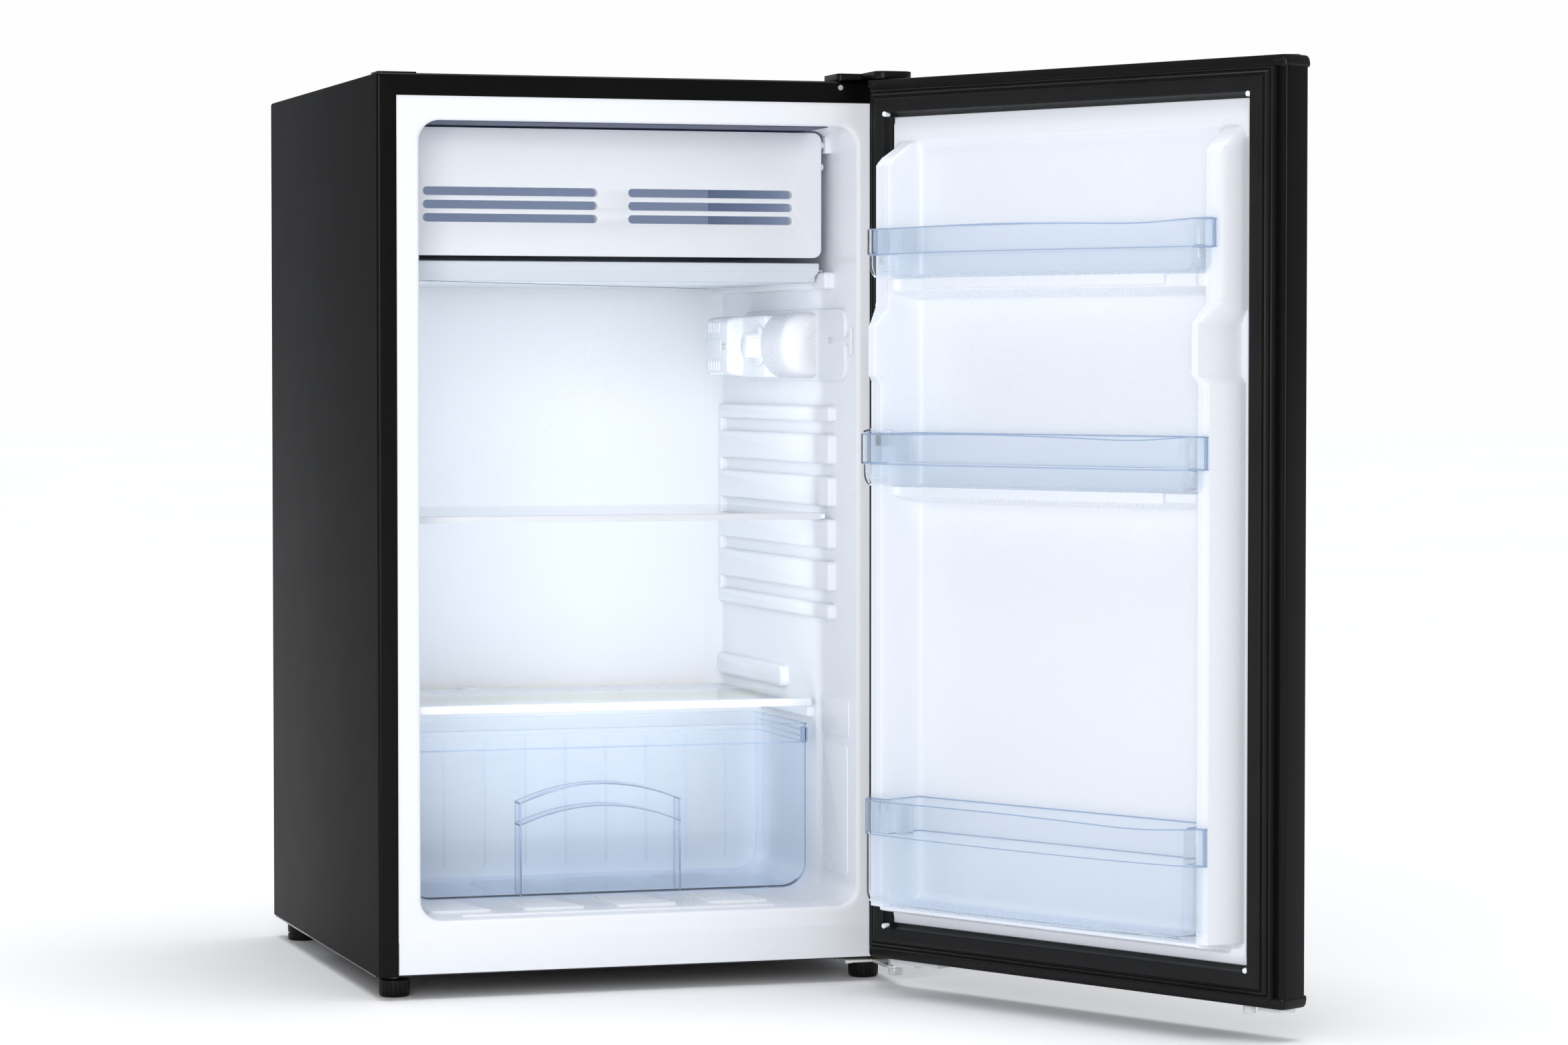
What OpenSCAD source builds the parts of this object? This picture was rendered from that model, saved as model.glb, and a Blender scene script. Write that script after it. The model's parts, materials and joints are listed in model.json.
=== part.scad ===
/* [Cabinet] */
// Width of the cabinet
cab_w = 500; // [480:1:540]
// Depth of the cabinet without the door
cab_d = 506; // [490:1:560]
// Height from the floor to the top panel
cab_h = 848; // [840:1:900]
// Height of the base above the floor
base_z = 20; // [18:1:24]
// Height at which the painted side panels end
skirt_z = 22; // [22:0.5:26]
// Thickness of the painted sheet
sheet_t = 1; // [0.8:0.1:1.2]
// Width of the black flange on each side of the opening
flange_w = 18.4; // [16:0.2:22]
// Height of the black flange over the opening
flange_h = 20.3; // [18:0.1:24]

/* [Cavity] */
// Insulated wall thickness at the sides
wall_side = 40; // [36:1:44]
// Height of the cavity floor
cav_floor = 72; // [70:1:80]
// Height of the cavity ceiling
cav_top = 806; // [800:1:806]
// Depth of the cavity
cav_d = 455; // [440:1:456]
// Thickness of the white liner
liner_t = 1.5; // [1:0.1:2]
// Depth at which the compressor step starts
step_y = 300; // [290:1:320]
// Height of the compressor step
step_z = 253; // [245:1:260]

/* [Shelf ribs] */
// How far each rib stands out of the wall
rib_out = 8; // [6:0.5:10]
// Depth at which the ribs start
rib_y = 65; // [65:1:80]
// Height of the lowest groove
groove_z = 353.5; // [350:0.5:356]
// Distance from one groove to the next
groove_pitch = 40.6; // [40:0.1:42]
// Height of a groove
groove_h = 12.2; // [11:0.1:13]
// Groove in which the shelf lies
shelf_groove = 2; // [0:1:4]

/* [Door] */
// Thickness of the door behind its outer face
door_t = 29; // [28:1:32]
// Gap between cabinet and door that the seal fills
seal_gap = 14; // [13.5:0.5:15]
// Height of the door's lower edge
door_z0 = 28.5; // [28:0.5:30]
// Height of each end cap
cap_h = 10; // [9:0.5:12]
// How far the end caps stand proud of the outer face
cap_lip = 4; // [2:0.5:5]
// Angle at which the door stands open
open_angle = 117; // [100:1:125]
// Width of the seal
seal_w = 26; // [24:1:30]

/* [Feet] */
// Radius of the four feet
foot_r = 14.5; // [13:0.5:16]
// Distance of the front feet from the side
front_foot_x = 22; // [20:1:30]
// Distance of the front feet from the front
front_foot_y = 36; // [34:1:45]

/* [Hidden] */

$fn = 48;
eps = 0.5;                       // overrun of a cutting solid
half_w = cab_w / 2;
ox = half_w - front_foot_x;       // the origin is on the floor under the front left foot
oy = -front_foot_y;
in_w = half_w - sheet_t;         // inner face of the side sheet
cav_w = half_w - wall_side;      // half width of the cavity
rail_top = cav_floor - 16.3;       // seam between the lower rail and the liner
foam_back = cab_d - 8;           // back face of the foam
back_y = cab_d - 2;              // front face of the back panel
bay_y = step_y + 29;             // front wall of the compressor bay
bay_top = step_z - 35;           // ceiling of the compressor bay
pin_x = half_w - 14;             // hinge axis
pin_y = -37;                     // hinge axis, in front of the cabinet
pin_r = 4;
run_gap = 0.05;                  // radial clearance of a running fit
door_z1 = cab_h - 1;             // top of the door
seal_out = 10;                   // outer edge of the seal, from the door's edge
seal_in = seal_out + seal_w;     // inner edge of the seal, from the door's edge
glass_t = 4.2;
shelf_z = groove_z + shelf_groove * groove_pitch + 0.3;
flap_w = 200;                    // half width of the freezer flap
flap_z0 = 684.5;
flap_z1 = cav_top - 2.5;
flap_y = 80;
flap_axis = [flap_y + 6, flap_z1 - 11.2];
dial_pos = [215, 601.5];         // depth and height of the dial
lamp_z = 600.5;
lamp_back = dial_pos[0] - 20.6;    // back end of the lamp cover, clear of the dial
comp_pos = [95, 425];            // compressor centre across and behind the front
drain_pos = [-60, 436];
gland_pos = [-190, 46];          // centre across and height of the cord gland

// A box given by its limits, with y counted back from the cabinet's front face
module slab(x, y, z) {
    translate([x[0] + ox, y[0] + oy, z[0]])
        cube([x[1] - x[0], y[1] - y[0], z[1] - z[0]]);
}

// The same box on both sides of the cabinet
module both(x, y, z) {
    slab(x, y, z);
    slab([-x[1], -x[0]], y, z);
}

// A point in the cabinet, with y counted back from the front face
module at(x, y, z) {
    translate([x + ox, y + oy, z])
        children();
}

// A plate with rounded upright corners
module round_plate(x, y, z, r) {
    slab([x[0] + r, x[1] - r], y, z);
    slab(x, [y[0] + r, y[1] - r], z);
    for (cx = [x[0] + r, x[1] - r])
        for (cy = [y[0] + r, y[1] - r])
            at(cx, cy, z[0])
                cylinder(h = z[1] - z[0], r = r);
}

// A panel that faces the front, with its four corners rounded
module face_panel(x, y, z, r) {
    slab([x[0] + r, x[1] - r], y, z);
    slab(x, y, [z[0] + r, z[1] - r]);
    for (cx = [x[0] + r, x[1] - r])
        for (cz = [z[0] + r, z[1] - r])
            at(cx, y[1], cz)
                rotate([90, 0, 0])
                    cylinder(h = y[1] - y[0], r = r);
}

// A round rod between two points
module rod(a, b, r) {
    d = b - a;
    long = norm(d);
    translate(a)
        rotate([0, acos(d[2] / long), atan2(d[1], d[0])])
            cylinder(h = long, r = r, $fn = 24);
}

// A tube along a route, with a slightly fuller ball at each bend
module tube_route(points, r) {
    for (i = [0 : len(points) - 2])
        rod(points[i], points[i + 1], r);
    for (i = [1 : len(points) - 2])
        translate(points[i])
            sphere(r = r + 0.3, $fn = 24);
}

// Turns the closed door to the angle at which it stands
module on_door() {
    at(pin_x, pin_y, 0)
        rotate([0, 0, open_angle])
            translate([-pin_x - ox, -pin_y - oy, 0])
                children();
}

// A box on the door: s from the hinge edge, d inwards from the door's inner face
module door_slab(s, d, z) {
    slab([half_w - s[1], half_w - s[0]], [d[0] - seal_gap, d[1] - seal_gap], z);
}

// An upright prism on the door from points given as [s, d]
module door_prism(points, z) {
    at(0, -seal_gap, z[0])
        linear_extrude(height = z[1] - z[0])
            polygon([for (p = points) [half_w - p[0], p[1]]]);
}

function mirror_s(points) = [for (p = points) [cab_w - p[0], p[1]]];

// ---- Cabinet ----

module outer_shell() {
    color([0.19, 0.19, 0.20])
        union() {
            difference() {
                slab([-half_w, half_w], [0, cab_d], [skirt_z, cab_h]);
                slab([-in_w, in_w], [-eps, cab_d + eps], [skirt_z - eps, cab_h - sheet_t]);
            }
            both([half_w - flange_w, in_w], [0, sheet_t], [skirt_z, cab_h - sheet_t]);
            slab([-in_w, in_w], [0, sheet_t], [cab_h - flange_h, cab_h - sheet_t]);
            both([in_w - 12, in_w], [cab_d - sheet_t, cab_d], [skirt_z, cab_h - sheet_t]);
            slab([-in_w, in_w], [cab_d - sheet_t, cab_d], [cab_h - 14, cab_h - sheet_t]);
        }
}

module back_panel() {
    color([0.55, 0.56, 0.58])
        slab([-in_w, in_w], [back_y, back_y + 1], [bay_top, cab_h - sheet_t]);
}

module bay_panel() {
    color([0.62, 0.63, 0.65])
        difference() {
            union() {
                slab([-in_w, in_w], [bay_y, bay_y + 1], [skirt_z, bay_top]);
                slab([-in_w, in_w], [bay_y, foam_back], [bay_top - 1, bay_top]);
            }
            at(drain_pos[0], drain_pos[1], bay_top - 5)
                cylinder(h = 10, r = 8.2);
        }
}

// The space that the liner takes up, grown outwards by t
module liner_space(t, front) {
    difference() {
        slab([-cav_w - t, cav_w + t], [front, cav_d + t], [cav_floor - t, cav_top + t]);
        slab([-cav_w - t - eps, cav_w + t + eps], [step_y + t, cav_d + t + eps],
             [cav_floor - t - eps, step_z - t]);
    }
}

module cabinet_foam() {
    color([0.90, 0.82, 0.55])
        difference() {
            slab([-in_w, in_w], [2.5, foam_back], [skirt_z, cab_h - sheet_t]);
            liner_space(liner_t, 2);
            slab([-in_w - eps, in_w + eps], [bay_y, foam_back + eps], [skirt_z - eps, bay_top]);
            slab([-232, 232], [2, 20], [skirt_z - eps, rail_top]);
            at(drain_pos[0], drain_pos[1], bay_top - eps)
                cylinder(h = 60, r = 8.2);
            for (x = [-1, 1])
                at(x * (half_w - front_foot_x), front_foot_y, skirt_z - eps)
                    cylinder(h = 30, r = 6);
        }
}

// Ribs with a groove between each two; the outermost ribs are 15 high
module shelf_ribs() {
    last = 4;
    bottoms = [groove_z - 15, for (k = [0 : last]) groove_z + k * groove_pitch + groove_h];
    tops = [for (k = [0 : last]) groove_z + k * groove_pitch, groove_z + last * groove_pitch + groove_h + 15];
    for (k = [0 : last + 1])
        both([cav_w - rib_out, cav_w + 0.5], [rib_y, cav_d - 23], [bottoms[k], tops[k]]);
}

module inner_liner() {
    color([0.93, 0.95, 0.98])
        difference() {
            union() {
                difference() {
                    union() {
                        liner_space(liner_t, 1);
                        slab([-half_w + 10, half_w - 10], [1, 2.5], [rail_top, cab_h - 10]);
                    }
                    liner_space(0, 0);
                }
                shelf_ribs();
                both([cav_w - 8, cav_w + 0.5], [216, cav_d + 0.5], [264, 286]);
                both([cav_w - 6, cav_w + 0.5], [136, step_y + 0.5], [246, step_z]);
                both([cav_w - 10, cav_w + 0.5], [71, cav_d + 0.5], [655, 671]);
                for (x = [-150, -50, 50, 150])
                    slab([x - 30, x + 30], [60, 280], [cav_floor - 0.5, cav_floor + 4.5]);
                slab([-170, 150], [24, 32], [cav_floor - 0.5, cav_floor + 3]);
            }
            at(drain_pos[0], drain_pos[1], step_z - 10)
                cylinder(h = 20, r = 8.2);
        }
}

module front_rail() {
    color([0.93, 0.95, 0.98])
        union() {
            slab([-231.4, 231.4], [0.8, 2.3], [skirt_z + 1.4, rail_top - 0.2]);
            slab([-231.4, 231.4], [1.5, 19], [skirt_z, skirt_z + 1.5]);
            slab([-231.4, 231.4], [1.5, 19], [rail_top - 1.7, rail_top - 0.2]);
        }
}

module base_pan() {
    color([0.16, 0.16, 0.17])
        difference() {
            slab([-in_w, in_w], [19, bay_y], [base_z, skirt_z]);
            for (x = [-1, 1])
                at(x * (half_w - front_foot_x), front_foot_y, base_z - 1)
                    cylinder(h = 5, r = pin_r + run_gap);
        }
}

module compressor_plate() {
    color([0.66, 0.67, 0.69])
        difference() {
            union() {
                slab([-in_w, in_w], [bay_y, cab_d - 6], [base_z, skirt_z]);
                slab([-in_w, in_w], [cab_d - 8, cab_d - 6], [base_z, skirt_z + 14]);
                slab([gland_pos[0] - 15, gland_pos[0] + 15], [cab_d - 8, cab_d - 6],
                     [base_z, gland_pos[1] + 16]);
            }
            at(gland_pos[0], cab_d - 9, gland_pos[1])
                rotate([-90, 0, 0])
                    cylinder(h = 5, r = 7.05);
        }
}

// ---- Cooling ----

module compressor() {
    r = 62;
    dome = 34;
    wall = [for (a = [0 : 10 : 90]) [r * cos(a), 140 + dome * sin(a)]];
    foot = [for (a = [90 : -10 : 0]) [(r - 2) * cos(a), 64 - dome * sin(a)]];
    color([0.10, 0.10, 0.11])
        union() {
            at(comp_pos[0], comp_pos[1], 0)
                rotate_extrude($fn = 96)
                    polygon(concat(foot, [[r - 2, 104], [r + 4, 104], [r + 4, 107], [r, 107]], wall));
            for (y = [-46, 46])
                slab([comp_pos[0] - 85, comp_pos[0] + 85], [comp_pos[1] + y - 14, comp_pos[1] + y + 14],
                     [33, 36]);
            for (y = [-34, 34])
                slab([comp_pos[0] - 20, comp_pos[0] + 20], [comp_pos[1] + y - 8, comp_pos[1] + y + 8],
                     [33, 70]);
        }
}

module compressor_grommets() {
    color([0.07, 0.07, 0.07])
        for (x = [-72, 72])
            for (y = [-46, 46])
                at(comp_pos[0] + x, comp_pos[1] + y, skirt_z)
                    cylinder(h = 11, r = 11);
}

module relay_cover() {
    color([0.12, 0.12, 0.13])
        difference() {
            round_plate([comp_pos[0] - 112, comp_pos[0] - 66.4], [comp_pos[1] - 30, comp_pos[1] + 30],
                        [66, 130], 6);
            slab([comp_pos[0] - 109, comp_pos[0] - 60], [comp_pos[1] - 27, comp_pos[1] + 27], [69, 127]);
        }
}

module condenser_coil() {
    runs = 9;
    pitch = 62;
    y = foam_back + 3;
    x1 = 205;
    z0 = bay_top + 60;
    zigzag = [for (i = [0 : 2 * runs - 1])
        [floor((i + 1) / 2) % 2 == 0 ? -x1 : x1, y, z0 + floor(i / 2) * pitch]];
    color([0.75, 0.45, 0.28])
        at(0, 0, 0)
            tube_route(concat([[-x1, y, bay_top - 22]], zigzag), 2.4);
}

module filter_drier() {
    y = cab_d - 40;
    color([0.72, 0.43, 0.26])
        at(-150, y, 120)
            rotate_extrude($fn = 48)
                polygon([[0, -62], [2.2, -62], [2.2, -52], [9.5, -40], [9.5, 40], [3, 52], [3, 62], [0, 62]]);
}

module discharge_tube() {
    y = cab_d - 40;
    y2 = foam_back + 3;
    color([0.74, 0.45, 0.28])
        at(0, 0, 0)
            tube_route([[-150, y, 182.2], [-150, y, 190], [-205, y, 190], [-205, y2, 190],
                        [-205, y2, bay_top - 22.2]], 2.4);
}

module suction_tube() {
    y = comp_pos[1];
    x = comp_pos[0];
    color([0.74, 0.45, 0.28])
        at(0, 0, 0)
            tube_route([[x + 66.6, y, 120], [x + 95, y, 120], [x + 95, y, 206],
                        [x + 95, y - 40, 206], [x + 95, y - 40, bay_top - 1.2]], 3.2);
}

module evaporation_tray() {
    x = comp_pos[0];
    y = comp_pos[1];
    color([0.15, 0.15, 0.16])
        difference() {
            round_plate([-118, x + 62], [y - 55, y + 55], [175, 200], 10);
            round_plate([-116, x + 60], [y - 53, y + 53], [177, 201], 8);
        }
}

module drain_tube() {
    color([0.20, 0.20, 0.21])
        at(drain_pos[0], drain_pos[1], 0)
            difference() {
                union() {
                    translate([0, 0, 190])
                        cylinder(h = step_z - 190 - 0.2, r = 8);
                    translate([0, 0, step_z])
                        cylinder(h = 1.5, r = 13);
                    translate([0, 0, step_z - 1])
                        cylinder(h = 1.5, r = 8);
                }
                translate([0, 0, 180])
                    cylinder(h = 90, r = 6.4);
            }
}

module evaporator() {
    w = 192;
    z0 = 688;
    z1 = cav_top - 9;
    color([0.80, 0.82, 0.84])
        union() {
            difference() {
                slab([-w, w], [106, 430], [z0, z1]);
                slab([-w + 2, w - 2], [105, 428], [z0 + 2, z1 - 2]);
            }
            for (x = [-150, 150])
                for (y = [140, 400])
                    at(x, y, z1 - 0.5)
                        cylinder(h = cav_top - z1 + 0.5, r = 5);
        }
}

// ---- Inside the cavity ----

module freezer_flap() {
    slots = [[-189, -21], [9, 171]];
    color([0.95, 0.96, 0.98])
        difference() {
            union() {
                face_panel([-flap_w, flap_w], [flap_y, flap_y + 12], [flap_z0, flap_z1], 8);
                for (side = [-1, 1]) {
                    at(side * (flap_w - 1), flap_axis[0], flap_axis[1])
                        rotate([0, side * 90, 0])
                            cylinder(h = 8, r = 3.4);
                    at(side * (flap_w - 1), flap_axis[0], flap_axis[1] - 21)
                        rotate([0, side * 90, 0])
                            cylinder(h = 4, r = 3.2);
                }
            }
            for (s = slots)
                for (i = [0 : 2])
                    face_panel(s, [flap_y - 1, flap_y + 13], [715.6 + i * 12.4, 723.6 + i * 12.4], 3.9);
            slab([-flap_w + 4, flap_w - 4], [flap_y + 2.5, flap_y + 13], [flap_z0 + 4, 711]);
            slab([-flap_w + 4, flap_w - 4], [flap_y + 2.5, flap_y + 13], [753, flap_z1 - 20]);
        }
}

module flap_brackets() {
    color([0.93, 0.95, 0.98])
        for (side = [-1, 1])
            difference() {
                slab(side > 0 ? [203.6, cav_w] : [-cav_w, -203.6], [flap_axis[0] - 8, flap_axis[0] + 8],
                     [flap_axis[1] - 8, flap_axis[1] + 8]);
                at(side * 203, flap_axis[0], flap_axis[1])
                    rotate([0, side * 90, 0])
                        cylinder(h = 5.2, r = 3.4 + run_gap);
            }
}

module drip_tray() {
    color([0.93, 0.95, 0.98])
        difference() {
            union() {
                slab([-198, 198], [88, 440], [661, 674]);
                slab([-207, 207], [96, 436], [671.3, 673.5]);
                slab([-200, 200], [86, 89], [661, 679.5]);
            }
            slab([-195.5, 195.5], [90.5, 437.5], [663, 680]);
        }
}

module thermostat_housing() {
    wall = 2;
    block_x = cav_w - 46;
    mid_x = cav_w - 30;
    color([0.93, 0.95, 0.98])
        difference() {
            union() {
                slab([cav_w - 4, cav_w], [28, 355], [567, 636]);
                round_plate([mid_x, cav_w - 1], [196, 280], [570, 631], 3);
                round_plate([block_x, cav_w - 1], [272, 353], [572, 630], 4);
            }
            slab([mid_x + wall, cav_w - 2], [196 + wall, 274], [572, 629]);
            slab([block_x + wall, cav_w - 2], [273, 353 - wall], [574, 628]);
            slab([cav_w - 5, cav_w + 1], [27, 112], [600.5, 611]);
            at(mid_x - 1, dial_pos[0], dial_pos[1])
                rotate([0, 90, 0])
                    cylinder(h = 5, r = 3 + run_gap);
            at(block_x - 1, 282, 601)
                rotate([0, 90, 0])
                    cylinder(h = 5, r = 1.6);
            for (i = [0 : 4])
                for (z = [[576, 590], [612, 626]])
                    slab([block_x - 1, block_x + 3], [300 + i * 9, 304 + i * 9], z);
        }
}

module thermostat_dial() {
    face_x = cav_w - 30.3;
    color([0.96, 0.96, 0.96])
        at(face_x, dial_pos[0], dial_pos[1])
            rotate([0, -90, 0])
                union() {
                    cylinder(h = 2, r = 20);
                    cylinder(h = 16, r = 13);
                    translate([0, 0, -12])
                        cylinder(h = 13, r = 3);
                    translate([10.5, -1.5, 1])
                        cube([8, 3, 1.8]);
                }
}

module thermostat_body() {
    color([0.70, 0.71, 0.73])
        slab([cav_w - 17, cav_w - 4], [200, 240], [583, 620]);
}

module lamp_holder() {
    color([0.90, 0.90, 0.88])
        at(cav_w - 17, 195.8, lamp_z)
            rotate([90, 0, 0])
                cylinder(h = 22, r = 9);
}

module lamp_bulb() {
    color([0.98, 0.97, 0.90])
        at(cav_w - 17, 173.8, lamp_z)
            rotate([90, 0, 0])
                rotate_extrude($fn = 48)
                    polygon(concat([[0, 0], [6.5, 0], [6.5, 8]],
                                   [for (a = [-40 : 10 : 90]) [11 * cos(a), 20 + 11 * sin(a)]]));
}

module lamp_cover() {
    r = 33.5;
    color([0.97, 0.98, 1.0])
        difference() {
            intersection() {
                at(cav_w, lamp_back, lamp_z)
                    rotate([90, 0, 0])
                        cylinder(h = lamp_back - 115, r = r, $fn = 96);
                slab([cav_w - 40, cav_w - 4], [110, 200], [560, 640]);
            }
            intersection() {
                at(cav_w, lamp_back + 1, lamp_z)
                    rotate([90, 0, 0])
                        cylinder(h = lamp_back - 115.6, r = r - 1.6, $fn = 96);
                slab([cav_w - 40, cav_w], [110, 200], [560, 640]);
            }
        }
}

module housing_screw() {
    color([0.75, 0.76, 0.78])
        at(cav_w - 46, 282, 601)
            rotate([0, -90, 0])
                union() {
                    difference() {
                        cylinder(h = 1.6, r = 3.2);
                        for (a = [0, 90])
                            rotate([0, 0, a])
                                translate([-2.2, -0.4, 0.9])
                                    cube([4.4, 0.8, 1]);
                    }
                    translate([0, 0, -6])
                        cylinder(h = 6.5, r = 1.5);
                }
}

module switch_plunger() {
    color([0.97, 0.97, 0.97])
        union() {
            slab([cav_w - 4.2, cav_w - 0.8], [13.5, 76], [602, 609]);
            slab([cav_w - 4, cav_w - 0.6], [12, 14], [592, 618]);
        }
}

module shelf_glass() {
    color([0.80, 0.90, 0.93, 0.5])
        slab([-cav_w + 3, cav_w - 3], [90, cav_d - 18], [shelf_z, shelf_z + glass_t]);
}

module shelf_trim() {
    w = cav_w - rib_out - 1;
    color([0.96, 0.97, 0.98])
        difference() {
            slab([-w, w], [84, 100], [shelf_z - 0.7, shelf_z + glass_t + 1.2]);
            slab([-w - eps, w + eps], [90, 101], [shelf_z, shelf_z + glass_t]);
        }
}

module crisper_glass() {
    color([0.80, 0.90, 0.93, 0.5])
        slab([-cav_w + 5, cav_w - 5], [128, step_y + 4], [step_z + 0.3, step_z + 0.3 + glass_t]);
}

module crisper_trim() {
    z = step_z + 0.3;
    color([0.96, 0.97, 0.98])
        difference() {
            slab([-205, 205], [125, 136], [z - 0.8, z + glass_t + 2]);
            slab([-206, 206], [128, 137], [z, z + glass_t]);
        }
}

module arch_block(x, y, z, rise) {
    r = (pow((x[1] - x[0]) / 2, 2) + rise * rise) / (2 * rise);
    slab(x, y, [z[0], z[1] - rise]);
    intersection() {
        at((x[0] + x[1]) / 2, y[1], z[1] - r)
            rotate([90, 0, 0])
                cylinder(h = y[1] - y[0], r = r, $fn = 180);
        slab(x, y, [z[0] + 10, z[1] + 1]);
    }
}

module crisper_drawer() {
    y = [122, 285];
    z0 = cav_floor + 4.8;
    z1 = 236;
    color([0.72, 0.82, 0.92, 0.45])
        difference() {
            union() {
                slab([-198, 198], y, [z0, z1 - 12]);
                slab([-200, 200], y, [z1 - 19, z1]);
            }
            difference() {
                slab([-195.5, 195.5], [y[0] + 2.5, y[1] - 2.5], [z0 + 2.5, z1 + 1]);
                arch_block([-89.5, 74.5], [y[0], y[0] + 22.5], [z0, 186.5], 18);
            }
            arch_block([-87, 72], [y[0] - 1, y[0] + 20], [z0 + 8, 184], 18);
        }
}

// ---- Feet ----

module foot_stud(side) {
    color([0.75, 0.76, 0.78])
        at(side * (half_w - front_foot_x), front_foot_y, 10.5)
            cylinder(h = 28, r = pin_r);
}

module foot_knob(side) {
    color([0.05, 0.05, 0.05])
        at(side * (half_w - front_foot_x), front_foot_y, 0)
            difference() {
                union() {
                    cylinder(h = 16.4, r = foot_r, $fn = 96);
                    translate([0, 0, 16])
                        cylinder(h = 1.3, r = 8);
                }
                translate([0, 0, 10])
                    cylinder(h = 8, r = pin_r + run_gap);
            }
}

module left_foot_stud() { foot_stud(-1); }
module right_foot_stud() { foot_stud(1); }
module left_foot_knob() { foot_knob(-1); }
module right_foot_knob() { foot_knob(1); }

module rear_feet() {
    color([0.05, 0.05, 0.05])
        for (x = [-1, 1])
            at(x * (half_w - front_foot_x), cab_d - 40, 0)
                union() {
                    cylinder(h = 18.5, r = foot_r + 0.5, $fn = 96);
                    translate([0, 0, 18])
                        cylinder(h = base_z - 18, r = foot_r - 3);
                }
}

// ---- Hinges ----

module top_hinge_bracket() {
    color([0.70, 0.71, 0.73])
        union() {
            slab([194, in_w - 2], [6, 40], [cab_h, cab_h + 2.5]);
            slab([pin_x - 8, pin_x + 8], [pin_y, 7], [cab_h, cab_h + 2.5]);
            at(pin_x, pin_y, cab_h)
                cylinder(h = 2.5, r = 8);
        }
}

module top_hinge_pin() {
    color([0.78, 0.79, 0.81])
        at(pin_x, pin_y, cab_h - 13)
            cylinder(h = 13, r = pin_r);
}

module hinge_cover() {
    x0 = 190.8;
    x1 = half_w - 0.4;
    arm = 213;
    z0 = cab_h + 0.02;
    z1 = cab_h + 7.5;
    color([0.09, 0.09, 0.10])
        difference() {
            union() {
                round_plate([x0, x1], [0.2, 45], [z0, z1], 4);
                round_plate([arm, x1], [-47, 20], [z0, z1], 10);
            }
            slab([x0 + 1.5, x1 - 1.5], [1.7, 43.5], [z0 - 1, z1 - 1.5]);
            round_plate([arm + 1.5, x1 - 1.5], [-45.5, 30], [z0 - 1, z1 - 1.5], 8.5);
        }
}

module hinge_screws() {
    color([0.80, 0.81, 0.83])
        union() {
            for (p = [[204, 14], [204, 32], [232, 24]])
                at(p[0], p[1], cab_h + 2.5)
                    cylinder(h = 2.6, r = 4.5);
            for (p = [[208, 22], [208, 50]])
                at(p[0], p[1], base_z - 5)
                    cylinder(h = 2.5, r = 4.5);
            at(193, 0, cab_h - 6)
                rotate([90, 0, 0])
                    cylinder(h = 1.2, r = 2.4);
        }
}

module hinge_hole_cap() {
    color([0.09, 0.09, 0.10])
        round_plate([-half_w + 3, -half_w + 40], [10, 40], [cab_h, cab_h + 1.8], 3);
}

module bottom_hinge_bracket() {
    color([0.74, 0.75, 0.77])
        difference() {
            union() {
                slab([200, in_w - 3], [4, 62], [base_z - 2.5, base_z]);
                slab([pin_x - 10, pin_x + 10], [pin_y, 5], [base_z - 2.5, base_z]);
                at(pin_x, pin_y, base_z - 2.5)
                    cylinder(h = 2.5, r = 10);
            }
            at(half_w - front_foot_x, front_foot_y, base_z - 5)
                cylinder(h = 10, r = 6);
            at(pin_x, pin_y, base_z - 5)
                cylinder(h = 10, r = pin_r + run_gap);
        }
}

module bottom_hinge_pin() {
    color([0.80, 0.81, 0.83])
        at(pin_x, pin_y, 0)
            union() {
                translate([0, 0, base_z - 10])
                    cylinder(h = 30, r = pin_r);
                translate([0, 0, base_z])
                    cylinder(h = door_z0 - base_z - 0.6, r = 7);
            }
}

module bottom_hinge_nut() {
    color([0.80, 0.81, 0.83])
        at(pin_x, pin_y, base_z - 9.5)
            difference() {
                cylinder(h = 7, r = 7.5, $fn = 6);
                translate([0, 0, -1])
                    cylinder(h = 9, r = pin_r + run_gap);
            }
}

// ---- Door ----

module door_skin() {
    z = [door_z0 + cap_h, door_z1 - cap_h];
    color([0.19, 0.19, 0.20])
        on_door()
            union() {
                door_slab([0, cab_w], [-door_t, -door_t + 1], z);
                door_slab([0, 1], [-door_t, 0], z);
                door_slab([cab_w - 1, cab_w], [-door_t, 0], z);
                door_slab([0, 14], [-1, 0], z);
                door_slab([cab_w - 14, cab_w], [-1, 0], z);
            }
}

// A hinge pin boss in an end cap, flattened where it meets the door skin
module pin_boss(z) {
    intersection() {
        at(pin_x, pin_y, z[0])
            cylinder(h = z[1] - z[0], r = 8);
        door_slab([1, 40], [-door_t + 1, -1], z);
    }
}

// The hinge pin's hole in an end cap
module cap_hole(z, h) {
    at(pin_x, pin_y, z)
        cylinder(h = h, r = pin_r + run_gap);
}

module cap_body(z) {
    d0 = -door_t - cap_lip - seal_gap;
    round_plate([-half_w, half_w], [d0, -seal_gap], z, 3);
}

module door_top_cap() {
    z = [door_z1 - cap_h, door_z1];
    color([0.10, 0.10, 0.11])
        on_door()
            difference() {
                union() {
                    cap_body(z);
                    at(-pin_x, pin_y, door_z1 - 1)
                        cylinder(h = 2, r = 8);
                    pin_boss([door_z1 - 20, door_z1 - 5]);
                }
                cap_hole(door_z1 - 14, 20);
            }
}

module door_bottom_cap() {
    z = [door_z0, door_z0 + cap_h];
    color([0.10, 0.10, 0.11])
        on_door()
            difference() {
                union() {
                    cap_body(z);
                    pin_boss([door_z0 + 5, door_z0 + 20]);
                }
                cap_hole(door_z0 - 1, 15);
            }
}

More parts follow.
